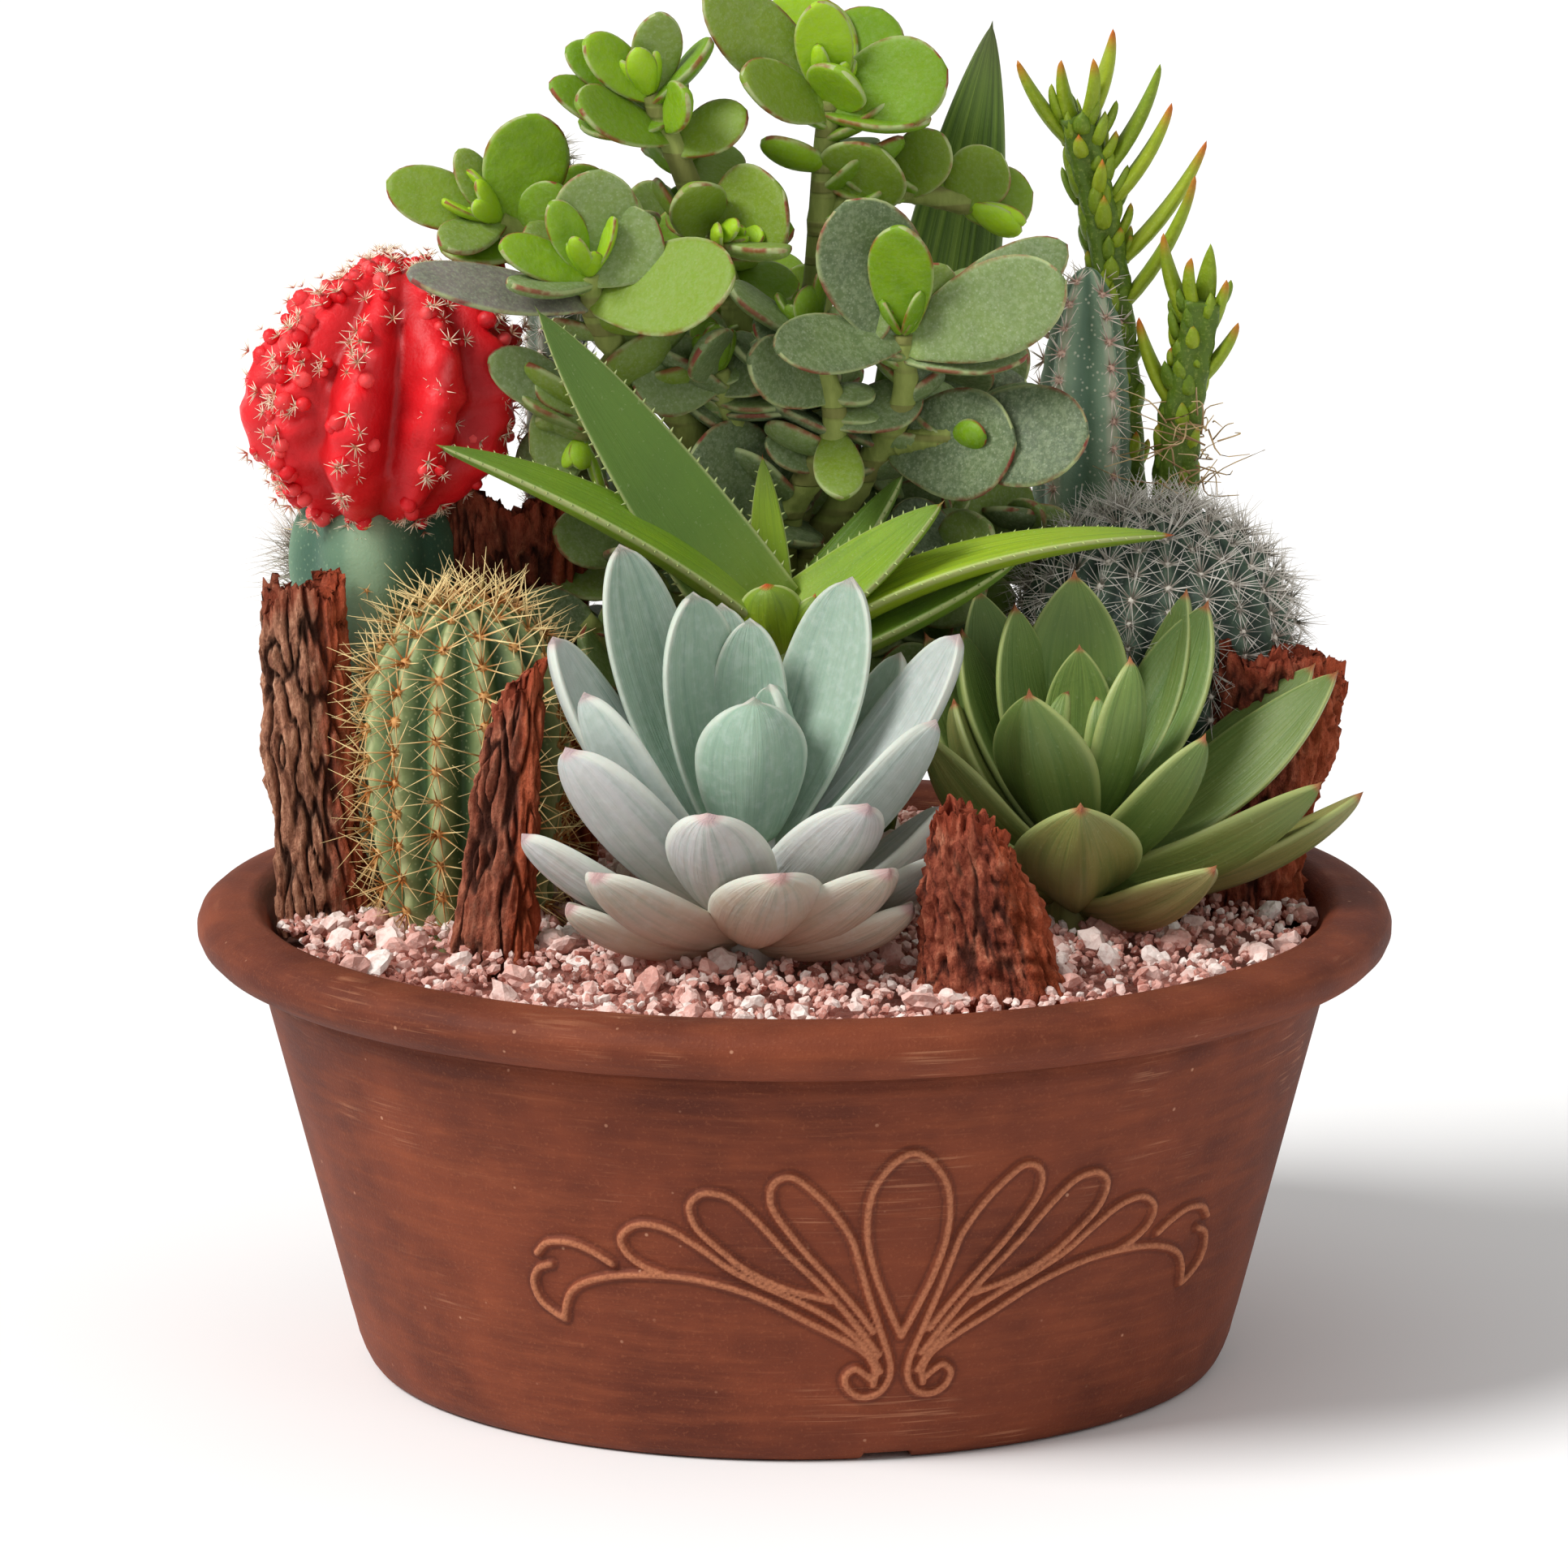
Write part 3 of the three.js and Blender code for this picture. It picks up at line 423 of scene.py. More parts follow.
def bowlProfile():
    foot = [(12, 16), (12, 8), (60, 8), (97, 8), (97.6, 5.6), (98.6, 5.1), (102, 5), (105.2, 5.1),
            (106.8, 5.8), (107.9, 7.2), (109.2, 9.8), (110.4, 13), (111.4, 17)]
    wall = [(wallRadius(z), z) for z in np.arange(20.5, 91, 0.62)]
    top = [(wallRadius(z), z) for z in (94, 98, 102, 104.5)] + [
        (133.7, 105.6), (134.0, 106.1), (133.6, 106.7), (134.2, 107.3), (136.6, 107.9),
        (140, 108.3), (143.6, 109.2), (146.6, 110.8), (148.7, 112.9), (149.75, 115.3),
        (149.8, 117.4), (148.9, 119.7), (146.8, 121.5), (143.8, 122.5), (140.8, 122.85),
        (138.8, 122.7), (137.5, 122.95), (136.2, 122.7), (134.4, 121.6), (132.9, 119.6),
        (132.1, 117), (130.6, 113), (126, 106), (114, 60), (102, 24), (94, 16), (50, 16), (12, 16),
    ]
    return foot + wall + top


def makeBowl(material):
    mesh = fresh()
    profile = bowlProfile()
    for sweep, steps in ((bowl["frontWidth"], bowl["steps"]),
                         (360 - bowl["frontWidth"], bowl["coarseSteps"])):
        turnFrom = bowl["frontFrom"] if steps == bowl["steps"] else bowl["frontFrom"] + bowl["frontWidth"]
        start = Matrix.Rotation(math.radians(turnFrom), 3, "Z")
        points = [mesh.verts.new(start @ Vector((0, -r, z))) for r, z in profile[:-1]]
        edges = [mesh.edges.new((a, b)) for a, b in zip(points, points[1:] + points[:1])]
        bmesh.ops.spin(
            mesh, geom=points + edges, cent=(0, 0, 0), axis=(0, 0, 1),
            angle=math.radians(sweep), steps=steps, use_merge=False,
        )
    bmesh.ops.remove_doubles(mesh, verts=mesh.verts, dist=0.02)
    bits = ornamentLines()
    starts, runs = bits[:, 0], bits[:, 1] - bits[:, 0]
    reach = np.maximum((runs ** 2).sum(1), 1e-9)
    tone = mesh.verts.layers.float["tone"]
    for point in mesh.verts:
        x, y, z = point.co
        angle = math.degrees(math.atan2(x, -y))
        radius = math.hypot(x, y)
        if z < 6.5 and radius > 90:        # the notches under the foot
            for notch in bowl["notches"]:
                gap = abs((angle - notch + 180) % 360 - 180)
                away = math.radians(gap) * radius
                if away < bowl["notchHalf"] + 1:
                    rise = bowl["notchHeight"] * min(1, bowl["notchHalf"] + 1 - away)
                    point.co.z = max(z, footLevel + rise)
        turn = angle - bowl["centre"]
        if abs(turn) < 46.5 and 19 < z < 89.4 and radius > wallRadius(z) - 0.5:
            here = np.array((math.radians(turn) * wallRadius(z), z))
            off = here - starts
            share = np.clip((off * runs).sum(1) / reach, 0, 1)
            away = np.sqrt((((off - runs * share[:, None])) ** 2).sum(1).min())
            ridge = max(0, 1 - (away / bowl["ridgeHalf"]) ** 2) ** 0.8
            groove = math.exp(-((away - bowl["ridgeHalf"] - 0.45) / 0.6) ** 2) * 0.2
            rough = 1 + 0.14 * noise.noise(point.co * 0.35)
            lift = bowl["ridgeHeight"] * ridge * rough - groove
            point.co *= 1 + lift / radius * Vector((x, y, 0)).length / point.co.length
            point.co.z = z
            # the tone is the ridge's wear, and below zero the painted shade in the groove beside it
            point[tone] = ridge - groove * 2
        else:
            wobble = noise.noise(point.co * 0.02) * 0.25
            point.co.x *= 1 + wobble / 300 * (radius < 149)
            point.co.y *= 1 + wobble / 300 * (radius < 149)
    finished(mesh, "castBowl", material, ["terracotta_bowl"], "terracotta")


def terracottaFinish():
    clay = Finish("firedTerracotta", {"Specular IOR Level": 0.25})
    ridgeWearGrooveShade = clay.value("tone")
    streak = clay.grain(3.2, 4, clay.where((0.12, 0.12, 1.0)), 0.6)
    brush = clay.grain(1.3, 3, clay.where((0.06, 0.06, 1.3)), 0.6)
    cloud = clay.grain(46, 4, roughness=0.6)
    patch = clay.grain(38, 2, clay.where((1, 1, 1.6))).between(0.56, 0.7)
    scratch = clay.grain(1.0, 2, clay.where((0.03, 0.05, 1.2)), 0.7).between(0.54, 0.68) * patch
    dots = clay.cells(7).between(0.09, 0.04) * clay.grain(25, 2).between(0.5, 0.6)
    fine = clay.grain(0.8, 3)
    colour = clay.blend(cloud.between(0.3, 0.7), tint(88, 37, 20), tint(122, 57, 32))
    colour = clay.blend(streak.between(0.4, 0.75) * 0.28, colour, tint(154, 82, 50))
    colour = clay.blend(brush.between(0.6, 0.8) * 0.22, colour, tint(170, 102, 68))
    colour = clay.blend(scratch * 0.4, colour, tint(188, 128, 94))
    colour = clay.blend(dots * 0.6, colour, tint(204, 150, 120))
    ridge = ridgeWearGrooveShade.between(0.25, 0.95) * (0.36 + fine.between(0.3, 0.65) * 0.45)
    colour = clay.blend(ridge, colour, tint(188, 120, 84))
    # painted shade: the groove beside each ridge is painted darker
    colour = clay.blend(ridgeWearGrooveShade.between(-0.05, -0.4) * 0.45, colour, tint(70, 28, 18))
    colour = clay.blend(fine.between(0.56, 0.72) * 0.2, colour, tint(170, 102, 68))
    return clay.paint(colour, 0.58 + streak * 0.2, [(fine, 0.16), (streak, 0.25), (brush, 0.1)])


makeBowl(terracottaFinish())
print("bowl")


# ---- soil and gravel

soil = Finish("dampSoil", {"Specular IOR Level": 0.2})
crumb = soil.grain(3, 4)
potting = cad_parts["potting_mix"]
potting.data.materials.clear()
potting.data.materials.append(soil.paint(
    soil.blend(crumb, tint(30, 20, 15), tint(84, 60, 44)), 0.95 + crumb * 0.03, [(crumb, 1.0)],
))

gravelBed = dict(
    edge=116, crown=121, reach=132, outer=131.2, small=6000, large=190,
    stone=(2.6, 4.6), crumb=(0.9, 1.7), batch=80, insets=(3, 5, 8, 10, 12, 14, 16, 18, 20),
)


def gravelHeight(x, y):
    out = math.hypot(x, y) / gravelBed["reach"]
    return (gravelBed["edge"] + (gravelBed["crown"] - gravelBed["edge"]) * (1 - out ** 2)
            + math.sin(x / 17) * math.cos(y / 21) * (1 - out))


def gravelFinish():
    stone = Finish("roseGravel", {"Specular IOR Level": 0.35})
    tone = stone.value("tone")
    fine = stone.grain(0.8, 3)
    vein = stone.grain(2.4, 2)
    colour = stone.ramp(tone, [
        (0.0, tint(108, 64, 52)), (0.15, tint(164, 100, 86)), (0.4, tint(206, 146, 132)),
        (0.65, tint(226, 180, 168)), (0.82, tint(238, 212, 202)), (1.0, tint(248, 238, 230)),
    ])
    colour = stone.blend(vein.between(0.45, 0.7) * 0.4, colour, tint(188, 122, 104))
    colour = stone.blend(fine.between(0.5, 0.75) * 0.3, colour, tint(250, 238, 230))
    return stone.paint(colour, 0.7 + fine * 0.25, [(fine, 0.22), (vein, 0.3)])


def makeGravel(material):
    mesh = fresh()
    dice = random.Random("gravel")
    disc = bmesh.ops.create_circle(mesh, cap_ends=True, segments=90, radius=gravelBed["outer"])
    rim = [face for face in mesh.faces]
    for inset in gravelBed["insets"]:
        bmesh.ops.inset_region(mesh, faces=rim, thickness=inset, use_even_offset=False)
        rim = [face for face in rim if face.is_valid]
    bmesh.ops.poke(mesh, faces=rim)
    for point in disc["verts"]:
        point.co.z = -20
    tone = mesh.verts.layers.float["tone"]
    for point in mesh.verts:
        x, y, z = point.co
        low = z < -1
        edgePoint = math.hypot(x, y) > gravelBed["outer"] - 1
        point.co.z = gravelHeight(x, y) - (7 if low or edgePoint else 0.6)
        if low or edgePoint:
            point.co.x, point.co.y = x * 0.985, y * 0.985
        point[tone] = 0.2

    def pebble(seed, rounds):
        roll = random.Random(seed)

        def make(small):
            bmesh.ops.create_icosphere(small, subdivisions=rounds, radius=1)
            for point in small.verts:
                point.co *= roll.uniform(0.68, 1.12)
                point.co.z *= 0.8
        return Stamp(make)
    kinds = [pebble("crumb%d" % i, 1) for i in range(6)] + [pebble("stone%d" % i, 2) for i in range(3)]
    heap = fresh()
    total = gravelBed["small"] + gravelBed["large"]
    for i in range(total):
        big = i >= gravelBed["small"]
        out = gravelBed["outer"] * math.sqrt(dice.random()) * 0.985
        around = dice.uniform(0, tau)
        x, y = out * math.cos(around), out * math.sin(around)
        size = dice.uniform(*gravelBed["stone" if big else "crumb"])
        size *= 1 if big else dice.choice((1, 1, 1.35))
        turn = aimed((dice.uniform(-1, 1), dice.uniform(-1, 1), dice.uniform(0.2, 1)), dice.uniform(0, tau),
                     (size * dice.uniform(0.8, 1.3), size, size * dice.uniform(0.7, 1)))
        lift = dice.uniform(-0.2, 0.7) * size
        shade = dice.random() ** 0.8 if not big else dice.uniform(0.45, 1)
        kinds[dice.randrange(6) if not big else 6 + dice.randrange(3)].press(
            heap, (x, y, gravelHeight(x, y) + lift), turn, shade)
        if (i + 1) % gravelBed["batch"] == 0 or i == total - 1:   # small heaps keep the pressing quick
            small = bpy.data.meshes.new("heap")
            heap.to_mesh(small)
            heap.free()
            mesh.from_mesh(small)
            bpy.data.meshes.remove(small)
            heap = fresh()
    heap.free()
    for kind in kinds:
        kind.done()
    finished(mesh, "looseGravel", material, ["gravel_topdressing"], "gravel", flat=True)


makeGravel(gravelFinish())
print("gravel")


# ---- bark

barkPieces = {
    "bark_slab_left": dict(foot=(-118, 3, 112), top=(-124, 5, 199), width=24, depth=13, taper=0.9,
                           turn=8, seed=1, redSide=0.15, split=3.2, crumb=0.9, slant=1, dome=0),
    "bark_slab_front": dict(foot=(-75, -46, 112), top=(-69, -42, 181), width=21, depth=11, taper=0.62,
                            turn=-12, seed=2, redSide=0.6, split=2.6, crumb=0.7, slant=7, dome=0.1),
    "bark_block_front": dict(foot=(49, -84, 112), top=(42, -82, 160), width=38, depth=22, taper=0.5,
                             turn=0, seed=3, redSide=0.8, split=0.7, crumb=1.8, slant=-3, dome=0.3),
    "bark_chunk_right": dict(foot=(112, 23, 112), top=(120, 24, 179), width=28, depth=20, taper=1.4,
                             turn=0, seed=4, redSide=0.8, split=0.8, crumb=1.8, slant=-3, dome=0.15),
    "bark_slab_rear": dict(foot=(-68, 38, 112), top=(-71, 38, 215), width=38, depth=11, taper=0.94,
                           turn=0, seed=5, redSide=0.7, split=2.6, crumb=0.9, slant=-4, dome=0),
}


def barkFinish():
    bark = Finish("splitBark", {"Specular IOR Level": 0.2})
    along, side, recessShade = bark.lay()
    tone = bark.value("tone")
    fibre = bark.grain(1.7, 5, bark.where((1, 1, 0.34)), 0.7)
    chip = bark.grain(3.2, 5, bark.where((1, 1, 0.5)), 0.7)
    fine = bark.grain(0.8, 3)
    tan = bark.ramp(fibre, [
        (0.3, tint(84, 50, 38)), (0.45, tint(142, 94, 72)), (0.58, tint(182, 130, 102)),
        (0.72, tint(214, 168, 138)),
    ])
    red = bark.ramp(chip, [
        (0.3, tint(74, 34, 26)), (0.45, tint(130, 62, 44)), (0.58, tint(164, 90, 66)),
        (0.74, tint(204, 136, 106)),
    ])
    redder = (side * 0.6 + chip * 0.8 - 0.35).between(0.0, 0.35).larger(tone.between(0.4, 0.7))
    colour = bark.blend(redder, tan, red)
    # painted shade: the bark is painted dark deep in its cracks
    colour = bark.blend(recessShade.between(0.1, -0.8) * 0.8, colour, tint(38, 19, 15))
    colour = bark.blend((side + fibre).between(0.9, 1.2) * 0.35, colour, tint(186, 84, 40))
    colour = bark.blend(along.between(0.93, 1.0) * 0.45, colour, tint(160, 66, 40))
    return bark.paint(colour, 0.88 + fine * 0.1, [(fibre, 0.9), (chip, 0.9), (fine, 0.3)])


def makeBark(name, row, material):
    mesh = fresh()
    lay = mesh.verts.layers.float_vector["lay"]
    tone = mesh.verts.layers.float["tone"]
    bmesh.ops.create_cube(mesh, size=1)
    bmesh.ops.subdivide_edges(mesh, edges=mesh.edges, cuts=43, use_grid_fill=True)
    foot, top = Vector(row["foot"]), Vector(row["top"])
    turn = Matrix.Rotation(math.radians(row["turn"]), 3, "Z")
    seed = Vector((row["seed"] * 7.3, row["seed"] * 3.1, row["seed"] * 5.7))
    for point in mesh.verts:
        x, y, z = point.co
        share = z + 0.5
        swell = 1 + (row["taper"] - 1) * share
        pinch = 1 - 0.2 * (2 * x) ** 4 * (2 * y) ** 4 - row["dome"] * 0.35 * max(0, share - 0.6)
        side = x * row["width"] * swell * pinch
        back = y * row["depth"] * swell * (1 - 0.25 * abs(2 * x)) * pinch
        out = Vector((x * 1.2, y * 2, 0)).normalized() if abs(x) + abs(y) > 0.01 else Vector((0, 0, 0))
        tall = (top.z - foot.z) * share
        cut = noise.noise(Vector((side * 0.34, back * 0.34, tall * 0.07)) + seed)
        shred = noise.noise(Vector((side * 0.8, back * 0.8, tall * 0.2)) + seed * 2)
        crumble = noise.noise(Vector((side * 0.5, back * 0.5, tall * 0.45)) + seed * 4)
        lump = noise.noise(Vector((side * 0.1, back * 0.1, tall * 0.05)) + seed * 3)
        groove = max(0, 0.22 - abs(cut)) / 0.22
        depth = -groove ** 1.5 * row["split"] + shred * 1.3 + crumble * row["crumb"] + lump * 3
        step = round((noise.noise(Vector((side * 0.11, back * 0.2, 3)) + seed) + 0.5) * 3) * 2.6 - 4
        end = max(0, share - 0.7) * 3.3 * (step + shred * 3 + row["slant"] * x * 2)
        end -= max(0, share - 0.6) * 2.5 * row["dome"] * (2 * x) ** 2 * 14
        place = Vector((side, back, 0)) + out * depth + Vector((0, 0, end))
        point.co = foot.lerp(top, share) + turn @ place
        # the third lay value falls in the cracks, where it sets painted shade
        point[lay] = (share, x * 2, max(-1, min(1, -groove + depth * 0.25 + 0.2)))
        point[tone] = row["redSide"]
    finished(mesh, "rough_" + name, material, [name], "bark")


barkSkin = barkFinish()
for name, row in barkPieces.items():
    makeBark(name, row, barkSkin)
print("bark")


# ---- cacti

def domed(radius, waist):
    def at(t):
        swell = waist + (1 - waist) * math.sin(min(1, t * 1.6) * math.pi / 2)
        past = max(0, (t - 0.62) / 0.38)
        return radius * swell * math.sqrt(max(0, 1.005 - past ** 2.4))
    return at


cacti = {
    "barrel": dict(
        node="barrel_cactus", foot=(-82, -3, 108), top=(-82, -2, 199), radiusAt=domed(25.5, 0.72),
        ribs=13, depth=0.2, turn=0.1, sides=156, stations=90, slot="barrel_skin",
        areoles=12, tuft=dict(count=8, reach=12, spread=1.25, thick=0.3, straight=2), fluff=1.5,
    ),
    "rootstock": dict(
        node="moon_cactus_rootstock", foot=(-105, 35, 108), top=(-107, 34, 217),
        radiusAt=lambda t: 23.5 * (0.8 + 0.2 * t) * (1 - 0.3 * (max(0, t - 0.88) / 0.12) ** 2),
        ribs=3, depth=0.3, turn=0.5, sides=72,
        stations=50, slot="blue_skin", areoles=6,
        tuft=dict(count=5, reach=3, spread=1.0, thick=0.2), fluff=0.7,
    ),
    "woolly": dict(
        node="woolly_cactus", foot=(91, 49, 108), top=(92, 48, 213), radiusAt=domed(35.5, 0.6),
        ribs=21, depth=0.09, turn=0, sides=126, stations=90, slot="woolly_skin",
        areoles=17, tuft=dict(count=15, reach=9, spread=1.3, thick=0.2, straight=3), fluff=1.1,
    ),
    "blueColumn": dict(
        node="blue_column_cactus", foot=(72, 82, 108), top=(75, 80, 269), radiusAt=domed(13, 0.8),
        ribs=5, depth=0.24, turn=0.3, sides=60, stations=70, slot="blue_skin",
        areoles=22, tuft=dict(count=9, reach=5.5, spread=1.3, thick=0.26, straight=1), fluff=1.2,
    ),
    "whiteColumn": dict(
        node="white_column_cactus", foot=(-60, 74, 108), top=(-61, 72, 305), radiusAt=domed(8.2, 0.8),
        ribs=9, depth=0.12, turn=0, sides=54, stations=60, slot="pale_skin",
        areoles=34, tuft=dict(count=10, reach=4.2, spread=1.4, thick=0.16), fluff=0.8,
    ),
    "whiteHaired": dict(
        node="white_haired_cactus", foot=(-93, 61, 108), top=(-124, 56, 206), radiusAt=domed(9.5, 0.8),
        ribs=11, depth=0.1, turn=0, sides=66, stations=50, slot="pale_skin",
        areoles=22, tuft=dict(count=12, reach=12, spread=1.0, thick=0.13, straight=3), fluff=0.9,
    ),
}


spinesFrom = 117                           # no spines under the gravel


def ribCrest(row, angle):                  # 1 on a rib, 0 in the furrow
    wave = 0.5 + 0.5 * math.cos(row["ribs"] * (angle + row["turn"]))
    return wave ** 0.75


def cactusSpot(row, share, angle, extra=0):
    foot, top = Vector(row["foot"]), Vector(row["top"])
    bumps = 1 + 0.02 * math.cos(share * row["areoles"] * tau) * ribCrest(row, angle)
    radius = row["radiusAt"](share) * (1 - row["depth"] * (1 - ribCrest(row, angle))) * bumps
    radius += extra
    return foot.lerp(top, share) + Vector((math.cos(angle), -math.sin(angle), 0)) * radius


def cactusFace(row, share, angle):         # where the skin looks
    low, high = cactusSpot(row, max(0, share - 0.02), angle), cactusSpot(row, min(1, share + 0.02), angle)
    around = Vector((math.sin(angle), math.cos(angle), 0))
    face = around.cross(high - low).normalized()
    out = Vector((math.cos(angle), -math.sin(angle), 0.15))
    return face if face.dot(out) > 0 else -face


def makeCactus(name, row, skin, spines):
    mesh = fresh()
    lay = mesh.verts.layers.float_vector["lay"]

    def place(share, angle):
        along = 1 - (1 - ringShare(share, row["stations"])) ** 1.25
        if share < 0.001 or share > 0.999:
            return Vector(row["foot"]) if share < 0.5 else Vector(row["top"]) - Vector((0, 0, 1.2))
        return cactusSpot(row, along, angle)
    for point in drawnOut(mesh, row["sides"], row["stations"], place):
        angle = math.atan2(point[lay].z, point[lay].y)
        point[lay] = (1 - (1 - point[lay].x) ** 1.25, ribCrest(row, angle), 0)
    finished(mesh, name + "Body", skin, [row["node"]], row["slot"])

    dice = random.Random(name)
    thorns = fresh()
    tufts = [spineTuft(name + str(i), **row["tuft"]) for i in range(4)]
    pads = Stamp(lambda small: bmesh.ops.create_icosphere(small, subdivisions=1, radius=1))
    for rib in range(row["ribs"]):
        angle = tau * rib / row["ribs"] - row["turn"]
        offset = 0.5 if rib % 2 else 0
        for step in range(row["areoles"]):
            share = (step + 0.25 + offset * 0.9) / row["areoles"]
            if not 0.05 < share < 0.985:
                continue
            share = 1 - (1 - share) ** 1.15
            spot = cactusSpot(row, share, angle)
            if spot.z < spinesFrom:
                continue
            face = cactusFace(row, share, angle)
            if share > 0.86:
                face = (face + up * 0.8).normalized()
            scale = dice.uniform(0.85, 1.15) * (1.15 if share > 0.8 else 1)
            turn = aimed(face, dice.uniform(0, tau), (scale, scale, scale))
            tufts[dice.randrange(4)].press(thorns, spot, turn, dice.random() * 0.6 + 0.4 * share)
            wool = row["fluff"] * dice.uniform(0.8, 1.2)
            pads.press(thorns, spot + face * 0.15, aimed(face, 0, (wool, wool, wool * 0.6)), -1)
    for tuft in tufts + [pads]:
        tuft.done()
    finished(thorns, name + "Spines", spines, slot=row["slot"])


def cactusSkin(name, recessShade, light, ridge, base, speck=0.3, gloss=0.5):
    skin = fleshy(name, 0.35)
    along, crest = skin.lay()[:2]
    cloud = skin.grain(16, 3)
    fine = skin.grain(0.9, 2)
    # painted shade: the furrows between the ribs take the darker first colour, the crests the lighter one
    colour = skin.blend((crest * 0.8 + cloud * 0.5 - 0.25).between(0.05, 0.9), recessShade, light)
    colour = skin.blend(crest.between(0.82, 1.0) * 0.7, colour, ridge)
    colour = skin.blend((along + cloud * 0.2).between(0.34, 0.1) * 0.6, colour, base)
    colour = skin.blend(skin.cells(1.6).between(0.3, 0.1) * speck, colour, ridge)
    return skin.paint(colour, gloss + fine * 0.15, [(fine, 0.12), (cloud, 0.6)])


def spineSkin(name, root, tip, wool):
    skin = Finish(name, {"Specular IOR Level": 0.3})
    share = skin.lay()[0]
    tone = skin.value("tone")
    colour = skin.blend((share * 0.8 + tone * 0.35).between(0.15, 0.75), root, tip)
    colour = skin.blend(tone.between(-0.2, -0.6), colour, wool)
    return skin.paint(colour, 0.55 + tone * 0.1, [(skin.grain(0.6, 2), 0.1)])


# in each skin the first colour is the painted shade in the furrows
cactusSkins = {
    "barrel": cactusSkin("barrelSkin", tint(58, 84, 46), tint(148, 164, 108), tint(190, 196, 144),
                         tint(158, 170, 112)),
    "rootstock": cactusSkin("rootstockSkin", tint(64, 98, 78), tint(106, 138, 108), tint(142, 166, 132),
                            tint(110, 140, 112), 0.5),
    "woolly": cactusSkin("woollySkin", tint(40, 58, 48), tint(84, 106, 88), tint(110, 126, 106),
                         tint(74, 92, 80)),
    "blueColumn": cactusSkin("blueSkin", tint(88, 116, 92), tint(138, 162, 134), tint(190, 192, 168),
                             tint(92, 118, 98), 0.9),
    "whiteColumn": cactusSkin("paleSkin", tint(96, 112, 96), tint(150, 160, 142), tint(186, 188, 172),
                              tint(120, 130, 110)),
}
cactusSkins["whiteHaired"] = cactusSkins["whiteColumn"]
tanSpines = spineSkin("tanSpines", tint(196, 116, 48), tint(238, 212, 150), tint(204, 150, 88))
whiteSpines = spineSkin("whiteSpines", tint(164, 152, 138), tint(232, 226, 216), tint(226, 218, 204))
pinkSpines = spineSkin("pinkSpines", tint(176, 128, 112), tint(240, 228, 214), tint(214, 178, 160))
spineSkins = {"barrel": tanSpines, "rootstock": tanSpines, "blueColumn": pinkSpines}
for name, row in cacti.items():
    makeCactus(name, row, cactusSkins[name], spineSkins.get(name, whiteSpines))
print("cacti")


# ---- the grafted red head

moon = dict(
    ball=dict(foot=(-106, 31, 211.5), top=(-99, 31, 277),
              radiusAt=lambda t: 4 + 32 * math.sin(t * math.pi) ** 0.5,
              ribs=9, depth=0.25, turn=0.28, areoles=7),
    pup=dict(foot=(-80, 30, 262), top=(-78, 29, 281),
             radiusAt=lambda t: 2 + 7 * math.sin(t * math.pi) ** 0.5, ribs=7, depth=0.16, turn=0, areoles=3),
    knobs=330, tufts=260, fringe=90, knobSize=(1.2, 2.6), starSize=(0.6, 1.1),
)


def moonFinish():
    skin = fleshy("moonRed", 0.4, 0.12, 0.005)
    along, crest = skin.lay()[:2]
    tone = skin.value("tone")
    cloud = skin.grain(9, 3)
    fine = skin.grain(1.1, 3)
    # painted shade and light: the furrows take the darker red, the crests the brighter red, broken by random
    # cloud
    bulge = (crest * 0.7 + cloud * 0.6 - 0.2).between(0, 1)
    colour = skin.blend(bulge, tint(176, 2, 10), tint(228, 14, 28))
    colour = skin.blend(tone.between(0.55, 1.0) * 0.65, colour, tint(248, 96, 94))
    # painted highlight: a paler pink in patches on the crests
    colour = skin.blend((cloud * crest).between(0.5, 0.75) * 0.5, colour, tint(250, 120, 122))
    colour = skin.blend((along + cloud * 0.1).between(0.16, 0.06) * 0.5, colour, tint(190, 60, 30))
    return skin.paint(colour, 0.42 + fine * 0.2, [(fine, 0.18), (cloud, 0.7)])


